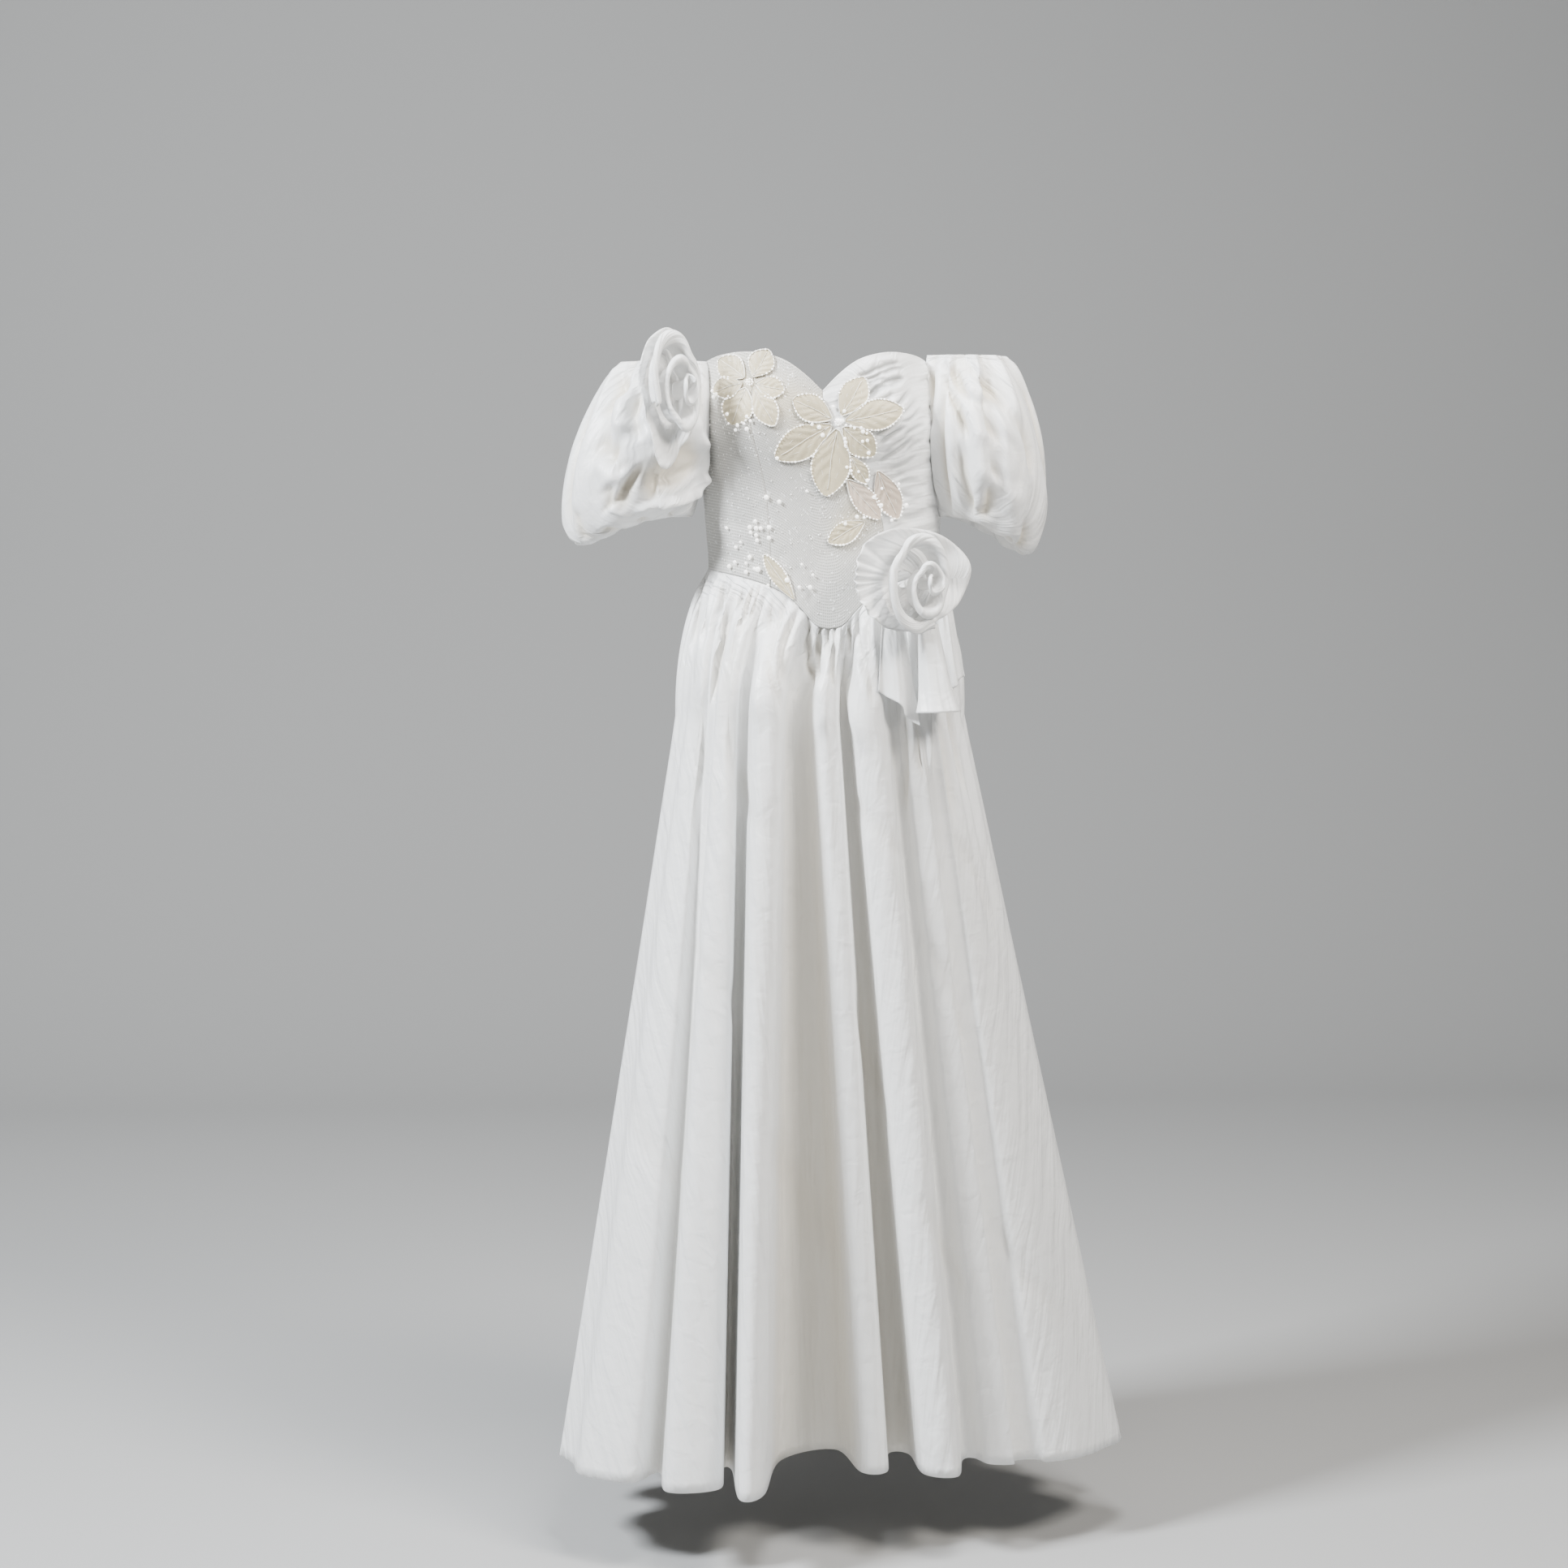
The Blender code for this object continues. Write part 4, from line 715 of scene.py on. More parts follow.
def skirt_surface():
    """Rows from the hem up, closer together near the waist. The top row is the waist seam, spread evenly
    between the side seams and the centre back. It swells on a parabola to the hip ring and from there goes
    straight down to the hem ring. Gathers ripple outwards near the waist and die away by the hip and beside
    the zip. The second value is how deep each point lies in a fold, below the mean reach of the cloth round
    it, and in a crease: 0 on a ridge, up to 1.6. It sets the painted shade in the valleys and creases."""
    at = np.arange(RING_POINTS * SKIRT_COLUMNS_A_POINT) / SKIRT_COLUMNS_A_POINT
    corners = [-0.5, SIDE_TURN, BACK_TURN, OTHER_SIDE_TURN, RING_POINTS - 0.5]
    azimuth = np.interp((at + 0.5) % RING_POINTS - 0.5, corners, [0.0, 90.0, 180.0, 270.0, 360.0])
    azimuth = (azimuth + 180) % 360 - 180
    top = body(azimuth, waist_seam(azimuth)) - (0, 0, SEAM_GAP / 2)
    hip = np.column_stack([closed_spline(HIP_RING, at), np.full(len(at), HIP_HEIGHT)])
    hem = np.column_stack([closed_spline(HEM_RING, at), np.full(len(at), HEM_HEIGHT)])
    share = np.linspace(0, 1, SKIRT_ROWS)[::-1, None] ** 1.25
    t = np.clip(share / HIP_SHARE, 0, 1)[..., None]
    below = np.clip((share - HIP_SHARE) / (1 - HIP_SHARE), 0, 1)[..., None]
    points = top * (1 - t) ** 2 + hip * (1 - (1 - t) ** 2) + (hem - hip) * below
    points[..., 2] = np.where(below[..., 0] > 0, HIP_HEIGHT + (HEM_HEIGHT - HIP_HEIGHT) * below[..., 0],
                              top[:, 2] + (HIP_HEIGHT - top[:, 2]) * t[..., 0])
    out = top * (1, 1 / WAIST_FLATNESS, 0)
    out /= np.linalg.norm(out, axis=1, keepdims=True)
    placket = 1 - np.exp(-((at - BACK_TURN) / 1.6) ** 2)
    ripple = np.cos(2 * math.pi * GATHERS * (at - 0.5) / RING_POINTS)
    main = GATHER_DEPTH * smooth(-0.004, 0.03, share) * (1 - smooth(0.05, 0.20, share)) * ripple
    turn = 2 * math.pi * at / RING_POINTS
    uneven = 0.6 + 0.4 * np.sin(5 * turn + 1.0) * np.sin(11 * turn)
    small = SMALL_GATHER * smooth(0.0, 0.02, share) * (1 - smooth(0.03, 0.13, share))
    small = small * np.sin(83 * turn + 2 * np.sin(7 * turn))
    slow = SLOW_SWELL * smooth(0.04, 0.12, share) * (1 - smooth(0.2, 0.45, share))
    slow = slow * np.sin(57 * turn + 1.7 * np.sin(9 * turn))
    points = points + out * ((main + uneven * (small + slow)) * placket)[..., None]
    crease = sum(troughs((at - whole) * POINT_LENGTH + 0 * share, points[..., 2], table)
                 for whole in (0, RING_POINTS) for table in (SKIRT_CREASES, WAIST_CREASES))
    points = points - normals_of(points) * crease[..., None]
    reach = np.hypot(points[..., 0], points[..., 1])
    window = 6 * SKIRT_COLUMNS_A_POINT
    around = np.concatenate([reach[:, -window:], reach, reach[:, :window]], axis=1)
    total = np.cumsum(around, axis=1)
    level = (total[:, 2 * window:] - total[:, :-2 * window]) / (2 * window)
    valley = np.clip((level[:, :reach.shape[1]] - reach) / DEEPEST_VALLEY, 0, 1)
    return points, valley + 0.6 * np.clip(crease / DEEPEST_CREASE, 0, 1)


skirt_points, skirt_painted_shade_mask = skirt_surface()
skirt_columns = skirt_points.shape[1]
# node, its first and last point number, cut width and length, cut area
for node, first, last, cut, cut_area in (
        ("skirt_front", OTHER_SIDE_TURN - RING_POINTS, SIDE_TURN, (1.52, 1.08), 1.05),
        ("skirt_back_left", SIDE_TURN, BACK_TURN, (0.99, 1.08), 0.67),
        ("skirt_back_right", BACK_TURN, OTHER_SIDE_TURN, (0.945, 1.08), 0.65)):
    first_column, last_column = round(first * SKIRT_COLUMNS_A_POINT), round(last * SKIRT_COLUMNS_A_POINT)
    span = np.arange(first_column, last_column + 1) % skirt_columns
    panel = skirt_points[:, span].copy()
    panel[:, 0] += (panel[:, 1] - panel[:, 0]) * SEAM_STOP
    panel[:, -1] += (panel[:, -2] - panel[:, -1]) * SEAM_STOP
    # Each panel gets painted shade in its valleys and creases
    satin_panel = cloth(node + "_satin", panel, SATIN,
                        net_and_painted_shade_marks=SKIRT_PAINTED_SHADE_DARKNESS * np.clip(skirt_painted_shade_mask[:, span], 0, 1.3))
    stands_for(satin_panel, node)


# Sleeves: one puffed tube of satin round each upper arm, gathered onto a band at both ends. They lie against
# the bodice on their inner side and are full and softly creased outside.

# side of the wearer (+1 left), centre of the top ring in x and z, its half width and half depth,
# centre of the lower ring in x, y and z, its radius, fullness low and high, sag low and high
SLEEVES = {
    "sleeve_left": (1, 0.168, 0.246, 0.052, 0.066, 0.178, -0.004, 0.060, 0.044, 1.0, 1.0, 1.14, 1.0),
    "sleeve_right": (-1, -0.174, 0.238, 0.054, 0.068, -0.192, -0.004, 0.060, 0.047, 1.6, 1.05, 0.84, 1.15),
}
# inner side (0) to outer side (1), reach and drop of the lower bubble, reach and drop below the top
PUFF = np.array([(0, 0.004, -0.020, 0.006, 0.060), (0.5, 0.034, 0.030, 0.078, 0.070),
                 (1, 0.040, 0.122, 0.090, 0.110)])
SLEEVE_COLUMNS, SLEEVE_ROWS, SLEEVE_GATHERS = 230, 88, 11
RING_SQUARENESS, BACK_DROP = 2.3, 0.030
SLEEVE_CLEARANCE = 0.0002
SLEEVE_PRESS = 0.6       # how far up the drape's folds the sleeve settles between them
GATHER_RISE, TOP_RISE, FOOT_RISE = 0.0034, 0.0030, 0.0014   # gathers: all over, more at the top, at the foot
# Painted shade in the sleeves' folds: how dark it gets, and the depth where it is full
SLEEVE_PAINTED_SHADE_DARKNESS, DEEPEST_FOLD = 0.80, 0.008
# Creases and, where the depth is negative, ridges: azimuth (1.7 mm a degree) and way up the sleeve
SLEEVE_DEGREE, SLEEVE_LENGTH = 0.0017, 0.26
SLEEVE_CREASES = {
    "sleeve_left": [
        (569, 248, 585, 215, 5, 5.8), (-29, 245, 7, 195, 6, 7.7), (569, 230, 609, 165, 6, 9.1),
        (572, 221, 566, 50, 5, 8.4), (542, 233, 556, 165, 5, 6.7), (0, 248, 37, 215, 6, 5.4),
        (13, 215, 29, 170, 12, 8.4), (7, 60, 26, 125, 9, 9.1), (45, 182, 58, 130, 11, 6.0),
        (593, 149, 609, 60, 8, 7.4), (15, 239, 47, 196, 8, 5.0), (556, 200, 545, 50, 5, -5.4),
        (585, 205, 593, 66, 8, -5.4), (2, 221, 10, 100, 11, -7.4), (37, 212, 47, 106, 12, -7.4),
        (534, 242, 545, 195, 4, 5.0), (58, 206, 85, 160, 9, 5.8), (13, 170, 29, 130, 9, 6.0),
        (110, 240, 128, 150, 8, 7.4), (150, 246, 146, 60, 7, 7.7), (176, 236, 200, 130, 9, 7.7),
        (214, 244, 206, 70, 7, 7.4), (246, 240, 262, 150, 8, 7.7), (282, 246, 276, 60, 7, 7.4),
        (312, 238, 330, 130, 8, 7.1), (352, 244, 346, 60, 7, 6.4), (392, 240, 404, 130, 7, 5.8),
        (440, 236, 436, 80, 6, 5.0), (132, 120, 150, 40, 9, 6.7), (230, 110, 244, 40, 9, 6.7),
        (300, 116, 316, 40, 9, 6.7), (80, 110, 96, 34, 9, 7.7), (60, 60, 66, 20, 6, 6.0),
    ],
    "sleeve_right": [
        (529, 215, 532, 242, 8, 6.4), (561, 191, 556, 233, 10, -9.1), (572, 230, 582, 182, 8, 7.7),
        (580, 212, 596, 170, 6, -5.6), (585, 152, 572, 98, 7, 8.7), (577, 140, 564, 107, 6, 6.2),
        (548, 143, 558, 110, 8, 7.3), (596, 143, 609, 89, 8, 5.6), (40, 186, 66, 146, 9, -6.0),
        (58, 168, 76, 100, 10, -7.5), (74, 113, 60, 78, 7, -11.2), (66, 82, 5, 77, 8, -10.5),
        (13, 74, -26, 92, 8, -7.0), (13, 143, 40, 107, 24, 14.0), (-2, 158, 5, 107, 16, 8.4),
        (21, 164, 53, 128, 16, 7.0), (518, 251, 561, 224, 6, 5.3), (550, 182, 572, 149, 10, 5.6),
        (532, 176, 561, 140, 10, -5.9), (532, 197, 556, 164, 9, 5.0), (498, 246, 492, 180, 8, 6.4),
        (470, 236, 480, 120, 9, 6.4), (440, 246, 446, 150, 7, 6.2), (412, 240, 398, 90, 9, 6.4),
        (372, 246, 380, 160, 8, 6.2), (344, 236, 330, 80, 8, 6.4), (306, 246, 312, 150, 7, 6.2),
        (274, 238, 262, 80, 8, 6.2), (236, 244, 244, 150, 7, 5.6), (204, 238, 196, 90, 7, 5.0),
        (160, 236, 168, 130, 6, 4.5), (500, 130, 520, 60, 9, 7.0), (540, 84, 560, 30, 8, 6.4),
        (454, 110, 470, 40, 9, 6.4), (390, 100, 404, 40, 9, 5.9), (590, 64, 602, 20, 6, 5.3),
        (300, 100, 316, 40, 9, 5.6), (30, 50, 40, 14, 6, 5.0),
    ],
}


def over_body(points, clearance):
    """Points nearer the middle than the bodice with its folds are moved straight out to it."""
    heights, shift = BODICE_SECTIONS.T[[0, 4]]
    x = points[..., 0] - eased(points[..., 2], heights, shift)
    azimuth, radius = np.degrees(np.arctan2(x, -points[..., 1])), np.hypot(x, points[..., 1])
    low, high = waist_seam(azimuth), top_edge(azimuth)
    share = np.clip((points[..., 2] - low) / (high - low), 0, 1)
    draped = (azimuth > drape_seam(share)) & (azimuth < 90)
    ridge = np.where(draped, SLEEVE_PRESS * FOLD_HEIGHT * between_seams(azimuth, share), 0)
    skin = body(azimuth, points[..., 2], ridge)
    reach = np.hypot(skin[..., 0] - eased(points[..., 2], heights, shift), skin[..., 1])
    push = np.maximum((reach + clearance) / radius, 1.0) - 1
    turn = np.radians(azimuth)
    moved = points.copy()
    moved[..., 0] += radius * np.sin(turn) * push
    moved[..., 1] -= radius * np.cos(turn) * push
    return moved


def sleeve_surface(side, top_x, top_z, top_wide, top_deep, low_x, low_y, low_z, low_radius,
                   full_low, full_high, sag_low, sag_high, creases):
    """Each line up the sleeve is a cubic Bezier curve from the lower ring to the top ring, a squared oval
    that drops towards the back. Its two middle points swell outwards and sag by the PUFF table. Gathers run
    up it, and the creases of the table are pressed into it. The second value is how deep each point lies in
    a fold, from 0 to 1, and sets the painted shade there."""
    turn = np.radians(np.arange(SLEEVE_COLUMNS) * 360.0 / SLEEVE_COLUMNS)[None, :]
    ahead, aside = -np.cos(turn), np.sin(turn)
    outward = (1 + side * aside) / 2
    corner = (np.abs(ahead) ** RING_SQUARENESS + np.abs(aside) ** RING_SQUARENESS) ** (-1 / RING_SQUARENESS)
    reach_low, drop_low, reach_high, drop_high = (eased(outward, PUFF[:, 0], PUFF[:, k])
                                                  for k in (1, 2, 3, 4))
    ends = [
        (low_x + low_radius * aside, low_y + low_radius * ahead, low_z + 0 * aside),
        (low_x + (low_radius + full_low * reach_low) * aside, low_y + (low_radius + reach_low) * ahead,
         low_z - sag_low * drop_low),
        (top_x + (top_wide + full_high * reach_high) * aside, (top_deep + reach_high) * ahead,
         top_z - sag_high * drop_high),
        (top_x + top_wide * corner * aside, top_deep * corner * ahead,
         top_z - BACK_DROP * smooth(-0.2, 1.0, ahead)),
    ]
    t = np.linspace(0, 1, SLEEVE_ROWS)[:, None]
    weights = ((1 - t) ** 3, 3 * t * (1 - t) ** 2, 3 * t * t * (1 - t), t ** 3)
    points = sum(weight[..., None] * np.stack(np.broadcast_arrays(*end), axis=-1)
                 for weight, end in zip(weights, ends))
    fold = np.sin(SLEEVE_GATHERS * turn + 0.9 * np.sin(2 * turn) * side)
    fold = fold * (1 + 0.35 * np.sin(3 * turn + 1.3 * side))
    tucks = np.sin(2.3 * SLEEVE_GATHERS * turn + 3 * t + 1.2 * np.sin(3 * turn))
    fold = fold + 0.45 * tucks * smooth(0.55, 1.0, t)
    fold = fold + 0.40 * np.sin(2.0 * SLEEVE_GATHERS * turn + np.sin(4 * turn)) * smooth(0.35, 0.0, t)
    strength = GATHER_RISE + TOP_RISE * smooth(0.5, 1.0, t) + FOOT_RISE * smooth(0.3, 0.0, t)
    strength = strength * smooth(0.0, 0.06, t) * (1 - 0.6 * smooth(0.97, 1.0, t)) * (0.25 + 0.75 * outward)
    points[..., 0] += strength * fold * aside
    points[..., 1] += strength * fold * ahead
    degrees = np.degrees(turn)
    crease = sum(troughs((degrees + whole) * SLEEVE_DEGREE + 0 * t, SLEEVE_LENGTH * t + 0 * degrees, creases)
                 for whole in (-360.0, 0.0))
    points = points - normals_of(points) * crease[..., None]
    # Painted shade: deep in the gathers' hollows and in the creases
    hollow = np.clip(-0.35 * fold * smooth(0.3, 1.0, t) + crease / DEEPEST_FOLD, 0, 1)
    return over_body(points, SLEEVE_CLEARANCE), hollow


for node, shape in SLEEVES.items():
    sleeve_points, sleeve_painted_shade_mask = sleeve_surface(*shape, SLEEVE_CREASES[node])
    sleeve = cloth(node + "_satin", sleeve_points, SATIN, wraps=True, net_and_painted_shade_marks=SLEEVE_PAINTED_SHADE_DARKNESS * sleeve_painted_shade_mask)
    stands_for(sleeve, node)


# Roses: one on the right sleeve and a larger one on the left hip, each a pleated ruffle with a strip of
# satin rolled up on it for the bloom. From the hip rose hang three loose ends: a flat fold, a roll and a
# narrow fold.

# Each rose's own frame is x across, y up and z out from the gown.
COIL_TURNS = 2.5
# share of the roll from its bud outwards: its radius, how far its middle lies to the side
COIL_ROLL = np.array([(0, 0.0040, 0.013), (0.22, 0.0080, 0.013), (0.40, 0.0118, 0.012), (0.56, 0.0215, 0.006),
                      (0.70, 0.0285, 0.002), (1, 0.0335, 0.0)])
# Dents and swells in the roll: how many turns along it, width in turns, depth
COIL_DENTS = [(0.30, 0.06, 0.0016), (0.72, 0.09, -0.0014), (1.10, 0.05, 0.0024), (1.38, 0.10, -0.0020),
              (1.62, 0.05, 0.0028), (1.86, 0.08, -0.0022), (2.06, 0.04, 0.0034), (2.30, 0.10, -0.0026),
              (2.47, 0.04, 0.0030), (2.62, 0.06, -0.0020)]
# share of the strip's height: how far it leans outwards, how high it stands
COIL_LEAN = np.array([(0, 0.0, 0.0), (0.30, -0.0012, 0.010), (0.58, 0.0005, 0.0195), (0.78, 0.0050, 0.0245),
                      (0.90, 0.0095, 0.0245), (1, 0.0122, 0.0218)])
HIP_ROSE = ((0.084, -0.120, -0.010), 26.0, 3.0)         # centre, azimuth, tilt
SLEEVE_ROSE = ((-0.166, -0.125, 0.207), 34.0, 6.0)
# How far along its own z each piece is set to rest on what is under it
ROSE_SEATS = {"hip_fold_inner": -0.00593, "hip_fold_rolled": 0.00274, "hip_fold_outer": -0.01000,
              "rose_hip_ruffle": 0.01102, "rose_hip_coil": 0.01185,
              "rose_sleeve_ruffle": -0.02621, "rose_sleeve_coil": -0.02555}
# Pleats pressed in each ruffle: angle, width in degrees, depth in millimetres
HIP_PLEATS = [(140, 3.4, 2.4), (158, 3.0, 3.6), (171, 2.2, 2.4), (180, 2.4, 4.8), (190, 2.2, 2.4),
              (204, 3.0, 3.8), (222, 3.4, 5.2), (244, 3.0, 2.6), (270, 3.8, 2.8), (302, 4.2, 2.6)]
SLEEVE_PLEATS = [(124, 9.0, 2.2), (172, 9.0, 2.4), (214, 8.0, 3.2), (282, 7.0, 2.6), (326, 8.0, 2.2),
                 (44, 9.0, 2.4)]
# Longer lobes of each ruffle: angle, width in degrees, share of its radius added, how far it lifts
HIP_LOBES = [(20, 34, 0.05, 0.004), (62, 26, 0.03, -0.003)]
SLEEVE_LOBES = [(92, 26, 0.06, 0.003), (252, 22, 0.46, 0.002), (180, 60, 0.0, -0.006)]


def placed(grid, centre, azimuth, tilt, seat=0.0):
    """Points of a rose's own frame set on the gown: z looks out by azimuth, tilted up by tilt, in degrees."""
    turn, lean = math.radians(azimuth), math.radians(tilt)
    across = np.array([math.cos(turn), math.sin(turn), 0])
    out = np.array([math.sin(turn) * math.cos(lean), -math.cos(turn) * math.cos(lean), math.sin(lean)])
    up = np.cross(out, across)
    return np.array(centre) + out * seat + grid @ np.array([across, up, out])


def ruffle(wide, high, waves, pleats, lobes):
    """A ring of cloth cupped towards the front. It waves gently round its edge, and each pleat is a narrow
    groove, with a low ridge beside it, that deepens from near the middle to the edge. A lobe is where the
    ring reaches further out."""
    turn = np.linspace(0, 2 * math.pi, 240, endpoint=False)[None, :]
    share = np.linspace(0, 1, 20)[:, None]
    radius = 0.16 + 0.84 * share + 0.035 * np.sin(3 * turn + 1) * share
    lift = 0.002 + 0.015 * share ** 2 + 0.0018 * share * np.sin(waves * turn + 0.7 * np.sin(turn))
    lift = lift - 0.0012 * smooth(0.90, 1.0, share)
    for angle, width, reach, rise in lobes:
        aside = (np.degrees(turn) - angle + 180) % 360 - 180
        bulge = np.exp(-(aside / width) ** 2)
        radius = radius + reach * bulge * share ** 2
        lift = lift + rise * bulge * share ** 3
    for angle, width, deep in pleats:
        aside = (np.degrees(turn) - angle + 180) % 360 - 180
        aside = aside + 4.0 * (1 - share) * np.sin(angle)
        groove = np.exp(-(aside / width) ** 2) - 0.35 * np.exp(-((aside - 2.2 * width) / width) ** 2)
        lift = lift - deep / 1000 * smooth(0.15, 0.8, share) * groove
    return np.stack([wide * radius * np.cos(turn), high * radius * np.sin(turn), lift], axis=-1)[::-1]


def coil(wide, high, start):
    """A strip of cloth rolled round its bud in a spiral that widens slowly at first and then fast, so that
    the outer turns stand open. Its upper edge is turned outwards in a soft lip that rises and sinks."""
    turn = np.linspace(0, 1, 250)[None, :]
    share = np.linspace(0, 1, 22)[:, None]
    turns = COIL_TURNS * turn
    angle = start + 2 * math.pi * turns
    lean_out, stand_up = (eased(share, COIL_LEAN[:, 0], COIL_LEAN[:, k]) for k in (1, 2))
    radius, aside = (eased(turn, COIL_ROLL[:, 0], COIL_ROLL[:, k]) for k in (1, 2))
    dents = sum(depth * np.exp(-((turns - place) / width) ** 2) for place, width, depth in COIL_DENTS)
    radius = radius + lean_out * (0.25 + 0.75 * turn) - dents * (0.35 + 0.65 * share)
    stand = stand_up * (1.25 - 0.35 * turn + 0.07 * np.sin(5 * angle / 2) + 0.04 * np.sin(7 * angle / 3))
    return np.stack([aside + wide * radius * np.cos(angle), high * radius * np.sin(angle), stand], axis=-1)


def hanging_fold(top, foot, wide_top, wide_foot, slope, waves, depth):
    """Cloth that hangs from a gathered top, waved across, its lower edge cut aslant."""
    across = np.linspace(-1, 1, 56)[None, :]
    down = np.linspace(0, 1, 44)[:, None]
    length = 1 + slope * across
    centre = [a + (b - a) * down * length for a, b in zip(top, foot)]
    half = wide_top + (wide_foot - wide_top) * down
    lift = depth * (0.25 + 0.75 * down) * (1 + np.cos(math.pi * waves * (across + 0.15)))
    lift = lift + 0.0010 * np.sin(9 * across + 3 * down) * (1 - 0.5 * down)
    return np.stack([centre[0] + half * across, centre[1] + 0 * across, centre[2] + lift], axis=-1)[::-1]


def rolled_fold(top, foot, radius_top, radius_foot, turns):
    """A hanging roll of cloth, open and a little flared at its foot."""
    turn = np.linspace(0, 1, 110)[None, :]
    down = np.linspace(0, 1, 44)[:, None]
    angle = math.pi * 1.2 + 2 * math.pi * turns * turn
    radius = (radius_top + (radius_foot - radius_top) * down) * (0.55 + 0.45 * turn)
    radius = radius * (1 + 0.15 * np.clip((down - 0.7) / 0.3, 0, 1) ** 2)
    radius = radius + 0.0016 * np.sin(5 * angle + 3 * down) * (0.3 + 0.7 * down)
    centre = [a + (b - a) * down for a, b in zip(top, foot)]
    return np.stack([centre[0] + radius * np.cos(angle), centre[1] + 0 * turn,
                     centre[2] + 0.75 * radius * np.sin(angle)], axis=-1)[::-1]


def rose_piece(node, grid, rose, wraps=False):
    piece = cloth(node + "_satin", placed(grid, *rose, seat=ROSE_SEATS.get(node, 0.0)), SATIN, wraps=wraps)
    stands_for(piece, node)


rose_piece("hip_fold_inner",
           hanging_fold((-0.004, -0.050, 0), (-0.004, -0.146, 0.004), 0.014, 0.024, 0.22, 1.4, 0.008),
           HIP_ROSE)
rose_piece("hip_fold_rolled",
           rolled_fold((0.031, -0.052, 0.012), (0.038, -0.152, 0.022), 0.014, 0.028, 1.35),
           HIP_ROSE)
rose_piece("hip_fold_outer",
           hanging_fold((0.068, -0.030, 0), (0.078, -0.122, 0), 0.010, 0.015, -0.10, 1.2, 0.006),
           HIP_ROSE)
rose_piece("rose_hip_ruffle", ruffle(0.074, 0.058, 7, HIP_PLEATS, HIP_LOBES),
           HIP_ROSE, wraps=True)
rose_piece("rose_hip_coil", coil(0.96, 1.30, 2.0) + (0.003, -0.004, 0.012),
           HIP_ROSE)
rose_piece("rose_sleeve_ruffle", ruffle(0.040, 0.064, 4, SLEEVE_PLEATS, SLEEVE_LOBES),
           SLEEVE_ROSE, wraps=True)
rose_piece("rose_sleeve_coil", coil(0.74, 1.42, 0.4) + (-0.004, 0, 0.010),
           SLEEVE_ROSE)


# Petals and leaves: champagne organza cut to shape, backed, edged with a thin cream cord and sewn down on the
# bodice. They make two open flowers and a spray of leaves below them.

# foot and tip of each in x and z as seen from the front, and its breadth, in millimetres
PETALS = {
    "flower_upper_petal_1": (-88, 218, -114, 241, 23),
    "flower_upper_petal_2": (-90, 212, -121, 203, 20),
    "flower_upper_petal_3": (-86, 206, -103, 165, 27),
    "flower_upper_petal_4": (-77, 206, -55, 163, 22),
    "flower_upper_petal_5": (-75, 211, -44, 203, 20),
    "flower_upper_petal_6": (-78, 219, -60, 249, 23),
    "flower_middle_petal_1": (9, 171, -34, 194, 25),
    "flower_middle_petal_2": (9, 164, -54, 127, 30),
    "flower_middle_petal_3": (15, 160, 3, 84, 35),
    "flower_middle_petal_4": (21, 162, 56, 130, 25),
    "flower_middle_petal_5": (23, 169, 87, 182, 28),
    "flower_middle_petal_6": (19, 175, 44, 218, 25),
    "leaf_1": (30, 129, 49, 98, 15),
    "leaf_2": (27, 103, 65, 58, 21),
    "leaf_3": (60, 113, 84, 58, 22),
    "leaf_4": (47, 55, 6, 32, 20),
    "leaf_at_waist": (-32, -33, -65, 18, 14),
}
PETAL_GAP, PETAL_WALL = 0.0007, 0.0009        # gap under a petal, and its thickness with its backing
PETAL_OVER_FOLDS = 1.35        # how many fold heights above the bodice a petal lies on the draped side
ORGANZA_COLOUR = (0.60, 0.525, 0.36)
ORGANZA_ROSY = (0.66, 0.54, 0.435)
PETAL_THICKNESS = 0.0005


def organza_material(name, colour):
    """Organza: a fine stiff net that lets a little of the cloth beneath show through its tone, gleaming along
    its threads."""
    made, nodes, links, shader = new_material(name)
    uv = uv_vector(nodes)
    weave = add_weave(nodes, links, uv, 1500.0, 0.30)
    links.new(shaded_colour(nodes, links, colour, weave.outputs["Shade"]), shader.inputs["Base Color"])
    shader.inputs["Roughness"].default_value = 0.42
    shader.inputs["Sheen Weight"].default_value = 0.35
    shader.inputs["Sheen Roughness"].default_value = 0.3
    cells = nodes.new("ShaderNodeTexVoronoi")
    cells.inputs["Scale"].default_value = 700.0
    links.new(uv, cells.inputs["Vector"])
    net = bump_node(nodes, links, weave.outputs["Height"], 0.00006)
    links.new(bump_node(nodes, links, cells.outputs["Distance"], 0.00015, net), shader.inputs["Normal"])
    return made


ORGANZA = organza_material("organza", ORGANZA_COLOUR)
ORGANZA_PINK = organza_material("organza_rosy", ORGANZA_ROSY)


def on_front(x, z, out):
    """The point of the bodice that is seen at x and z from the front, moved out from it, over the folds of
    the draped side. Its azimuth is the arc sine of x over the radius, found again and again with the radius
    at the last azimuth."""
    heights, shift = BODICE_SECTIONS.T[[0, 4]]
    aside = x - eased(z, heights, shift)
    azimuth = np.degrees(np.arcsin(np.clip(aside / 0.14, -0.99, 0.99)))
    for _ in range(12):
        skin = body(azimuth, z)
        radius = np.hypot(skin[..., 0] - eased(z, heights, shift), skin[..., 1])
        azimuth = np.degrees(np.arcsin(np.clip(aside / radius, -0.99, 0.99)))
    low, high = waist_seam(azimuth), top_edge(azimuth)
    share = np.clip((z - low) / (high - low), 0, 1)
    draped = azimuth > drape_seam(share)
    ridge = np.where(draped, PETAL_OVER_FOLDS * FOLD_HEIGHT * between_seams(azimuth, share), 0)
    return body(azimuth, z, ridge + out)


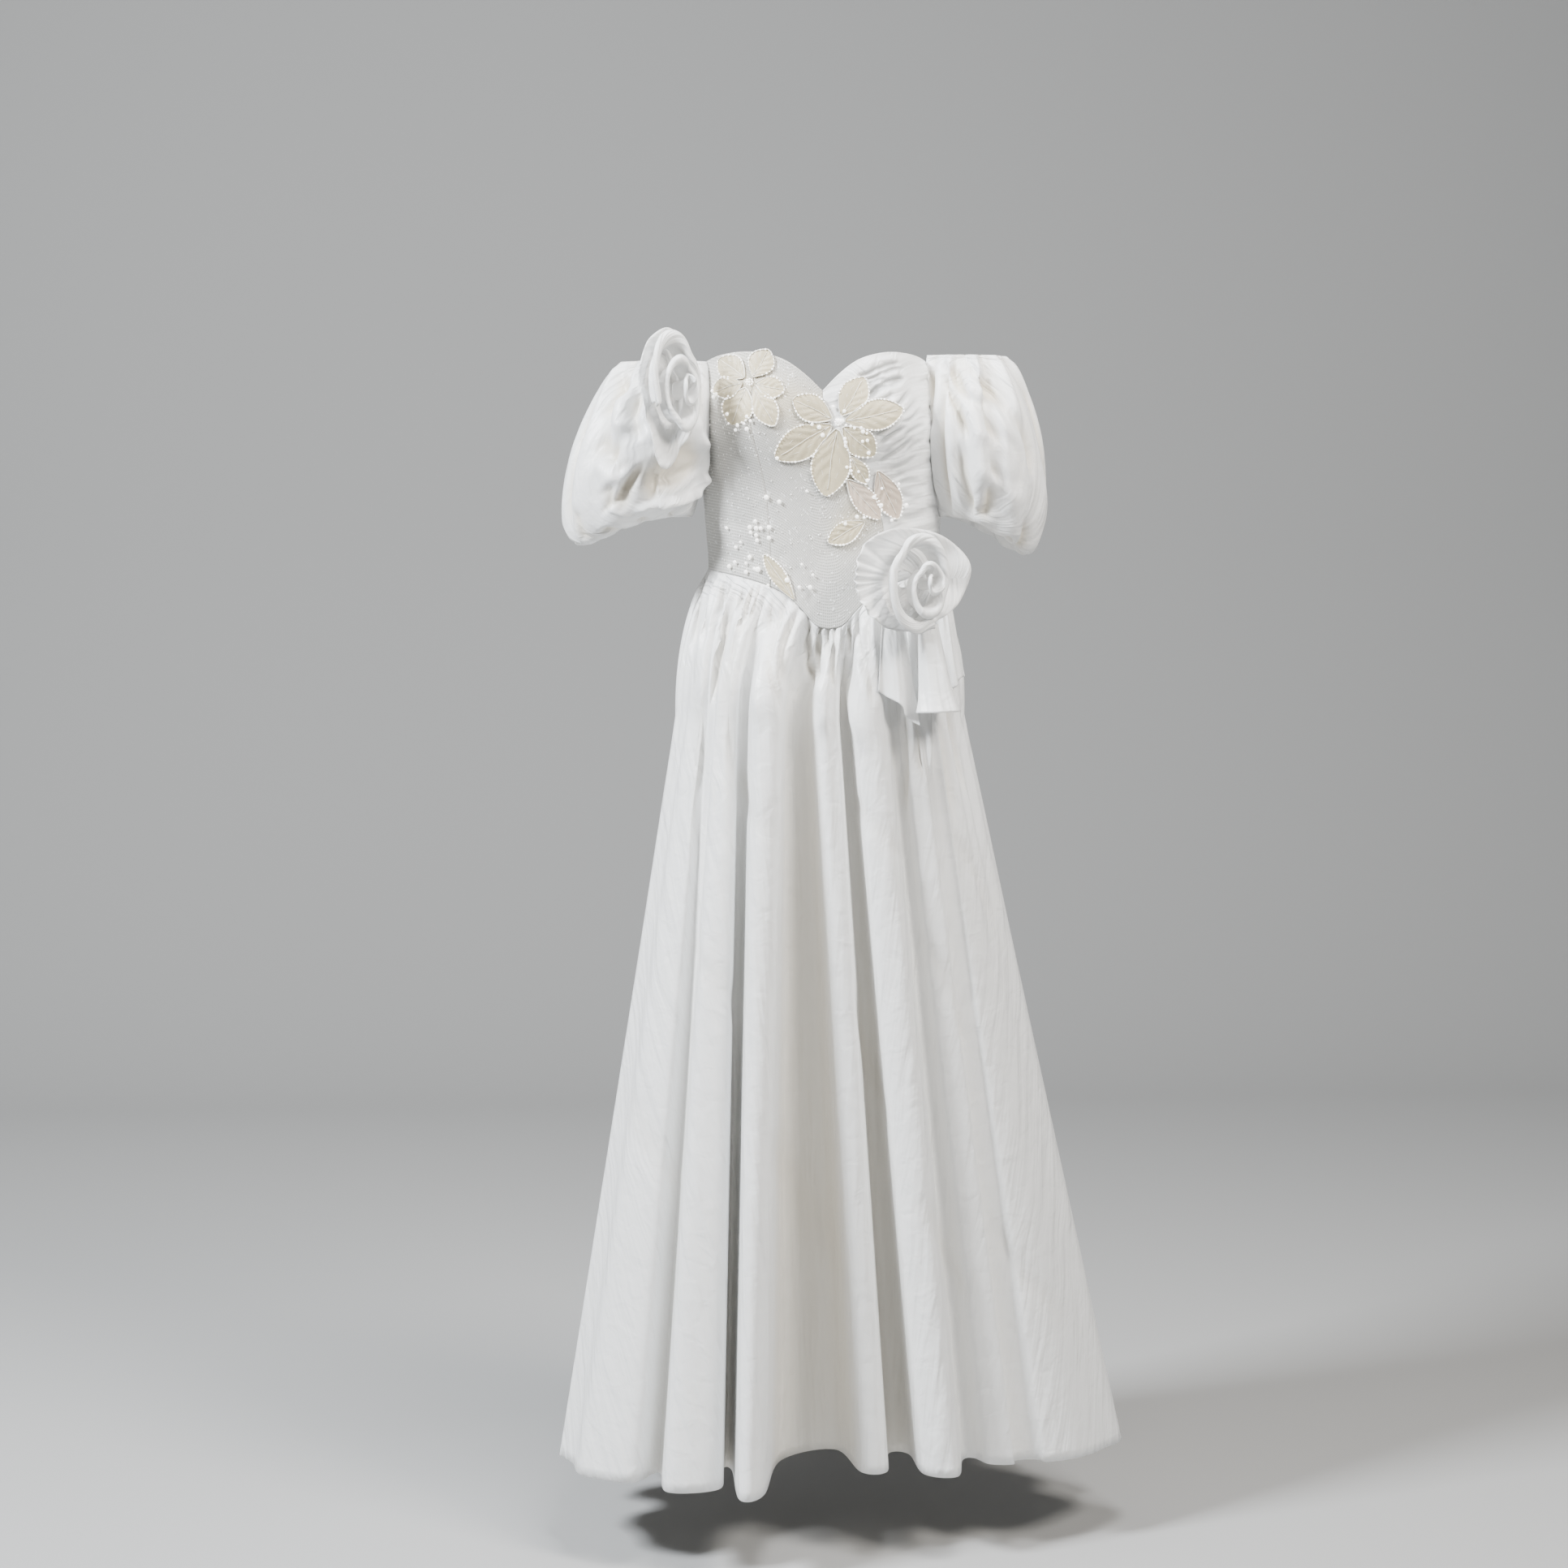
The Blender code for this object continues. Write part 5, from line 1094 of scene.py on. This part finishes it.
def petal_spots(foot_x, foot_z, tip_x, tip_z, breadth, share, across):
    """Places on a flat petal: broadest nearer its tip, pointed at its foot."""
    foot, tip = np.array([foot_x, foot_z]) / 1000, np.array([tip_x, tip_z]) / 1000
    along = tip - foot
    aside = np.array([along[1], -along[0]]) / np.linalg.norm(along)
    half = breadth / 2000 * (0.07 + 0.93 * np.sin(math.pi * share ** 1.15) ** 0.8)
    return foot + along * share[..., None] + aside * (half * across)[..., None]


def petal_grid(shape, lift, rows=34, columns=21):
    """The petal's upper face: it puffs up between its midrib and its edges, with faint veins."""
    share = np.linspace(0, 1, rows)[:, None] + np.zeros((1, columns))
    across = np.linspace(-1, 1, columns)[None, :] + np.zeros((rows, 1))
    flat = petal_spots(*shape, share, across)
    puff = 0.0010 * np.sin(math.pi * share) * np.abs(np.sin(math.pi * across)) ** 0.8
    vein = 0.0004 * np.cos(30 * (share - 0.35 * np.abs(across)))
    return on_front(flat[..., 0], flat[..., 1], lift + puff + vein * np.sin(math.pi * share))


def tube(line, radius, sides=6, closed=False):
    """Points and faces of a round cord that follows a line. Its width can differ from point to point."""
    line = np.asarray(line, float)
    if closed:
        ahead = np.roll(line, -1, axis=0) - np.roll(line, 1, axis=0)
    else:
        ahead = np.gradient(line, axis=0)
    ahead /= np.linalg.norm(ahead, axis=1, keepdims=True)
    side = np.cross(ahead, np.where(np.abs(ahead[:, 2:]) > 0.9, (0.0, 1.0, 0.0), (0.0, 0.0, 1.0)))
    side /= np.linalg.norm(side, axis=1, keepdims=True)
    over = np.cross(side, ahead)
    turn = np.arange(sides) * 2 * math.pi / sides
    radius = np.broadcast_to(np.asarray(radius, float).reshape(-1, 1, 1), (len(line), 1, 1))
    ring = (np.cos(turn)[None, :, None] * side[:, None, :] + np.sin(turn)[None, :, None] * over[:, None, :])
    points = (line[:, None, :] + radius * ring).reshape(-1, 3)
    last = len(line) if closed else len(line) - 1
    i, k = np.meshgrid(np.arange(last), np.arange(sides), indexing="ij")
    i, k = i.ravel(), k.ravel()
    ahead_i = (i + 1) % len(line)
    faces = np.stack([i * sides + k, ahead_i * sides + k, ahead_i * sides + (k + 1) % sides,
                      i * sides + (k + 1) % sides], axis=1).tolist()
    if not closed:
        faces += [list(range(sides)), [sides * (len(line) - 1) + n for n in range(sides)][::-1]]
    return points, faces


def merged(name, parts, finish):
    """One object from several sets of points and faces."""
    points, faces, start = [], [], 0
    for part_points, part_faces in parts:
        points.append(np.asarray(part_points))
        faces.extend([[start + n for n in face] for face in part_faces])
        start += len(part_points)
    return mesh_object(name, np.concatenate(points).tolist(), faces, finish)


CORD_COLOUR = (0.90, 0.87, 0.78)


def object_vector(nodes):
    """Places on a piece with no UV map, in metres."""
    return nodes.new("ShaderNodeTexCoord").outputs["Object"]


def cord_material():
    made, nodes, links, shader = new_material("cream_cord")
    twist = noise_node(nodes, links, object_vector(nodes), 900.0)
    shader.inputs["Base Color"].default_value = (*CORD_COLOUR, 1)
    shader.inputs["Roughness"].default_value = 0.30
    shader.inputs["Sheen Weight"].default_value = 0.2
    links.new(bump_node(nodes, links, twist, 0.0004), shader.inputs["Normal"])
    return made


CREAM_CORD = cord_material()
CORD_RADIUS, VEIN_RADIUS, SIDE_VEIN = 0.00072, 0.00036, 0.6
CORD_LIFT, VEIN_LIFT, CORD_INSET = 0.0004, 0.0006, 0.97
# Each petal's cloth is fuller than its stiff backing, and some lie on their neighbours
PETAL_FULLNESS, PETAL_LAYER = 1.28, 0.0006
PETAL_LAYERS = {"flower_upper_petal_2": 1, "flower_upper_petal_4": 1, "flower_upper_petal_6": 1,
                "flower_middle_petal_1": 1, "flower_middle_petal_3": 1, "flower_middle_petal_5": 1,
                "leaf_1": 2, "leaf_3": 1}
ROSY_LEAVES = ("leaf_2", "leaf_3")
cords = []
edge_turn = np.linspace(0, 1, 84, endpoint=False)
for node, shape in PETALS.items():
    rosy = node in ROSY_LEAVES
    full = (*shape[:4], shape[4] * PETAL_FULLNESS)
    lift = PETAL_GAP + PETAL_WALL + PETAL_LAYER * PETAL_LAYERS.get(node, 0)
    petal = cloth(node + "_organza", petal_grid(full, lift), ORGANZA_PINK if rosy else ORGANZA,
                  thick=PETAL_THICKNESS)
    stands_for(petal, node)
    edge_share = np.where(edge_turn < 0.5, 2 * edge_turn, 2 - 2 * edge_turn)
    edge_side = np.where(edge_turn < 0.5, 1.0, -1.0) * CORD_INSET
    spots = petal_spots(*full, edge_share, edge_side)
    width = CORD_RADIUS * (0.75 + 0.45 * np.sin(2 * math.pi * edge_turn + shape[0]))
    cords.append(tube(on_front(spots[:, 0], spots[:, 1], lift + CORD_LIFT), width, closed=True))
    for across in (-0.45, 0.0, 0.45):
        rib_share = np.linspace(0.04, 0.90 - 0.35 * abs(across), 24)
        rib_side = across * np.sin(math.pi * rib_share) + 0.06 * np.sin(5 * rib_share)
        spots = petal_spots(*full, rib_share, rib_side)
        width = VEIN_RADIUS * (1.0 if across == 0 else SIDE_VEIN)
        cords.append(tube(on_front(spots[:, 0], spots[:, 1], lift + VEIN_LIFT), width))
edging = merged("petal_cords", cords, CREAM_CORD)
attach(edging, "dress")


# Beads: pearls at the two flowers' centres, rows of small glass beads round the petals, clusters of large
# sequins between them, and small loose sequins sewn all over the lace.

BEAD_FACES_AROUND, BEAD_RINGS = 7, 4
# Pearl is the beads' own colour; the second is the colour of their painted highlight, an emission
PEARL_COLOUR, PAINTED_GLOW_COLOUR = (0.95, 0.945, 0.92), (1.0, 0.98, 0.93)


def bead(centre, radius, squash=1.0, axis=(0.0, -1.0, 0.0)):
    """A small round bead, or a flat one where it is squashed along its axis."""
    axis = np.asarray(axis, float) / np.linalg.norm(axis)
    side = np.cross(axis, (0.0, 0.0, 1.0))
    side /= np.linalg.norm(side)
    over = np.cross(side, axis)
    tilt = np.linspace(-math.pi / 2, math.pi / 2, BEAD_RINGS + 1)[1:-1]
    turn = np.arange(BEAD_FACES_AROUND) * 2 * math.pi / BEAD_FACES_AROUND
    round_it = np.cos(turn)[:, None] * side + np.sin(turn)[:, None] * over
    shell = np.cos(tilt)[:, None, None] * round_it + squash * np.sin(tilt)[:, None, None] * axis
    points = np.asarray(centre) + radius * np.vstack([shell.reshape(-1, 3), -squash * axis, squash * axis])
    n, rings = BEAD_FACES_AROUND, len(tilt)
    faces = [[r * n + k, (r + 1) * n + k, (r + 1) * n + (k + 1) % n, r * n + (k + 1) % n]
             for r in range(rings - 1) for k in range(n)]
    faces += [[rings * n, k, (k + 1) % n] for k in range(n)]
    faces += [[rings * n + 1, (rings - 1) * n + (k + 1) % n, (rings - 1) * n + k] for k in range(n)]
    return points, faces


def bead_material(name, painted_glow):
    """Glass and pearl beads. Their emission is a painted highlight for the lights the large ones throw back.
    """
    made, nodes, links, shader = new_material(name)
    shader.inputs["Base Color"].default_value = (*PEARL_COLOUR, 1)
    shader.inputs["Emission Color"].default_value = (*PAINTED_GLOW_COLOUR, 1)
    shader.inputs["Emission Strength"].default_value = painted_glow
    shader.inputs["Coat Weight"].default_value = 0.8
    shader.inputs["Coat Roughness"].default_value = 0.04
    shader.inputs["Specular IOR Level"].default_value = 0.8
    smear = noise_node(nodes, links, object_vector(nodes), 300.0)
    links.new(math_node(nodes, links, "MULTIPLY", smear, 0.22), shader.inputs["Roughness"])
    return made


# Painted highlight: the beads' emission is strong, the small sequins' faint
BEADS = bead_material("glass_and_pearl_beads", 2.0)
SMALL_SEQUINS = bead_material("small_sequins", 0.25)
# Flower centres: a pearl with a ring of smaller ones round it
FLOWER_CENTRES = {"flower_upper_centre": (-82, 213), "flower_middle_centre": (16, 168)}
PEARL, RING_PEARL, RING_RADIUS = (0.0017, 0.0034), (0.0012, 0.0022), 0.0034       # radius, lift
for node, (x, z) in FLOWER_CENTRES.items():
    spots = [(x / 1000, z / 1000, *PEARL)]
    spots += [(x / 1000 + RING_RADIUS * math.cos(a), z / 1000 + RING_RADIUS * math.sin(a), *RING_PEARL)
              for a in np.arange(8) * math.pi / 4]
    centre = merged(node + "_pearls", [bead(on_front(np.array(sx), np.array(sz), lift), radius)
                                       for sx, sz, radius, lift in spots], BEADS)
    stands_for(centre, node)
LARGE_SEQUIN_SIZE = 1.35       # how much wider a large sequin is than the table says
LARGE_LIFT, EDGE_LIFT, LOOSE_LIFT = 0.0034, 0.0012, 0.0007
LARGE_FLATNESS, LOOSE_FLATNESS = 0.55, 0.3
BEAD_PITCH = 3.6               # millimetres between the beads along a petal's edge
LOOSE_SEQUINS = 360
# Large sequins sewn one by one: x and z as seen from the front and radius, in millimetres
LARGE_SEQUINS = [
    (-62, 83, 2.3), (-48, 78, 1.8), (-51, 127, 1.6), (-74, 56, 1.6), (-80, 49, 1.9), (-73, 48, 1.9),
    (-68, 48, 1.7), (-79, 43, 1.6), (-73, 40, 1.7), (-59, 49, 2.0), (-59, 37, 1.9), (-72, 34, 1.7),
    (-90, 32, 1.2), (-95, 26, 1.5), (-105, 48, 1.4), (-80, 15, 2.0), (-84, 8, 1.3), (-96, 9, 1.6),
    (-102, 4, 1.9), (-84, -2, 1.8), (-71, 1, 2.4), (-39, -11, 2.3), (-26, -19, 1.5), (-14, -19, 2.0),
    (-60, -17, 1.3), (-18, 90, 1.2), (-23, 7, 1.2), (-11, -5, 1.2), (-75, 2, 1.4), (-121, 204, 1.5),
    (-117, 200, 1.6), (-120, 197, 1.5), (-106, 177, 1.6), (-95, 164, 1.5), (-85, 174, 1.6), (-81, 169, 1.4),
    (-85, 160, 1.9), (-88, 166, 1.3), (-97, 159, 1.5), (83, 98, 1.3), (92, 74, 2.0), (77, 57, 1.5),
    (65, 74, 1.8), (57, 83, 1.7), (49, 102, 1.7), (65, 93, 1.3), (39, 112, 1.4), (31, 113, 1.3),
    (25, 53, 1.5), (38, 61, 1.8), (46, 60, 1.3), (16, 169, 2.0), (20, 169, 1.7), (24, 164, 1.3),
    (29, 163, 1.2), (33, 161, 1.3), (40, 161, 1.5), (42, 157, 1.8), (46, 155, 1.1), (23, 149, 1.6),
    (24, 145, 1.6), (24, 141, 1.3), (26, 117, 1.4), (49, 133, 1.7), (42, 146, 1.4), (47, 147, 1.5),
    (-5, 162, 2.0), (-13, 165, 1.4), (-1, 153, 1.9), (22, 180, 1.6), (10, 185, 1.5),
]
spread = np.random.default_rng(7)
beads = []
for x, z, radius in LARGE_SEQUINS:
    spot = on_front(np.array(x / 1000), np.array(z / 1000), LARGE_LIFT)
    beads.append(bead(spot, LARGE_SEQUIN_SIZE * radius / 1000, LARGE_FLATNESS))
# Beads along every petal's edge, from somewhere in its lower half to its tip
for node, shape in PETALS.items():
    length = math.hypot(shape[2] - shape[0], shape[3] - shape[1])
    for edge_side in (-1.0, 1.0):
        for share in np.arange(spread.uniform(0.15, 0.45), 1.0, BEAD_PITCH / length):
            share = np.array([share + spread.uniform(-0.008, 0.008)])
            side = np.array([edge_side * CORD_INSET])
            spot = petal_spots(*shape[:4], shape[4] * PETAL_FULLNESS, share, side)
            lift = PETAL_GAP + PETAL_WALL + PETAL_LAYER * PETAL_LAYERS.get(node, 0) + EDGE_LIFT
            beads.append(bead(on_front(spot[:, 0], spot[:, 1], lift)[0], spread.uniform(0.0007, 0.0014)))
beading = merged("beads_and_sequins", beads, BEADS)
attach(beading, "dress")
# Loose sequins all over the lace, small flat discs that lie on it
sequins = []
for _ in range(LOOSE_SEQUINS):
    azimuth, share = spread.uniform(-88, 30), spread.uniform(0.02, 0.97)
    if azimuth > drape_seam(np.array(share)) - 2:
        continue
    low, high = waist_seam(azimuth), top_edge(azimuth)
    height = low + (high - low) * share
    spot = body(np.array(azimuth), np.array(height), LOOSE_LIFT)
    away = (math.sin(math.radians(azimuth)), -math.cos(math.radians(azimuth)), spread.uniform(-0.15, 0.25))
    sequins.append(bead(spot, spread.uniform(0.0005, 0.0011), LOOSE_FLATNESS, away))
scattered = merged("loose_sequins", sequins, SMALL_SEQUINS)
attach(scattered, "dress")


# Zip at the centre back: a nylon coil on a woven tape, from the neckline down past the waist, sewn in between
# the two backs. Its metal slider and pull tab keep the solids made for them.

ZIP_WALL, ZIP_LOW_HEIGHT = 0.0014, -0.110
COIL_PITCH, COIL_HALF, COIL_THREAD = 0.0016, 0.0011, 0.00030
COIL_PARTS = ((-0.106, 0.1822), (0.1918, 0.1955))      # heights below and above the slider
TAPE_COLOUR, METAL_COLOUR = (0.80, 0.79, 0.76), (0.72, 0.72, 0.70)


def zip_line():
    """Points up the middle of the zip: the skirt's centre back from the zip's foot to the waist, then the
    bodice's centre back to the neckline."""
    column = skirt_points[:, round(BACK_TURN * SKIRT_COLUMNS_A_POINT)]
    back = np.full(60, 180.0)
    height = np.linspace(waist_seam(back)[0], top_edge(back)[0], len(back))
    line = np.vstack([column[column[:, 2] > ZIP_LOW_HEIGHT], body(back, height)[1:]])
    return line - (0, SEAM_GAP, 0)


def tape_material():
    made, nodes, links, shader = new_material("zip_tape")
    weave = add_weave(nodes, links, uv_vector(nodes), 1800.0, 0.05)
    toned = shaded_colour(nodes, links, TAPE_COLOUR, weave.outputs["Shade"])
    links.new(toned, shader.inputs["Base Color"])
    shader.inputs["Roughness"].default_value = 0.6
    links.new(bump_node(nodes, links, weave.outputs["Height"], 0.0001), shader.inputs["Normal"])
    return made


def metal_material():
    made, nodes, links, shader = new_material("zip_metal")
    shader.inputs["Base Color"].default_value = (*METAL_COLOUR, 1)
    shader.inputs["Metallic"].default_value = 1.0
    smear = math_node(nodes, links, "MULTIPLY", noise_node(nodes, links, object_vector(nodes), 800.0), 0.15)
    links.new(math_node(nodes, links, "ADD", smear, 0.25), shader.inputs["Roughness"])
    return made


ZIP_TAPE, ZIP_METAL = tape_material(), metal_material()
for name in ("zip_slider", "zip_pull"):
    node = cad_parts[name]
    node.data.materials.clear()
    node.data.materials.append(ZIP_METAL)
zip_points = zip_line()
across_zip = np.linspace(ZIP_WIDTH / 2, -ZIP_WIDTH / 2, 7)
sideways = np.stack([across_zip, 0 * across_zip, 0 * across_zip], axis=-1)
tape = cloth("zip_tape", zip_points[:, None, :] + sideways, ZIP_TAPE, thick=ZIP_WALL)
stands_for(tape, "zip")
coils = []
for low, high in COIL_PARTS:
    height = np.arange(low, high, COIL_PITCH / 6)
    x, y = (np.interp(height, zip_points[:, 2], zip_points[:, k]) for k in (0, 1))
    swing = COIL_HALF * np.sin(2 * math.pi * height / COIL_PITCH)
    coils.append(tube(np.stack([x + swing, y + COIL_THREAD * 0.8, height], axis=-1), COIL_THREAD, sides=4))
teeth = merged("zip_coil", coils, ZIP_TAPE)
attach(teeth, "dress")
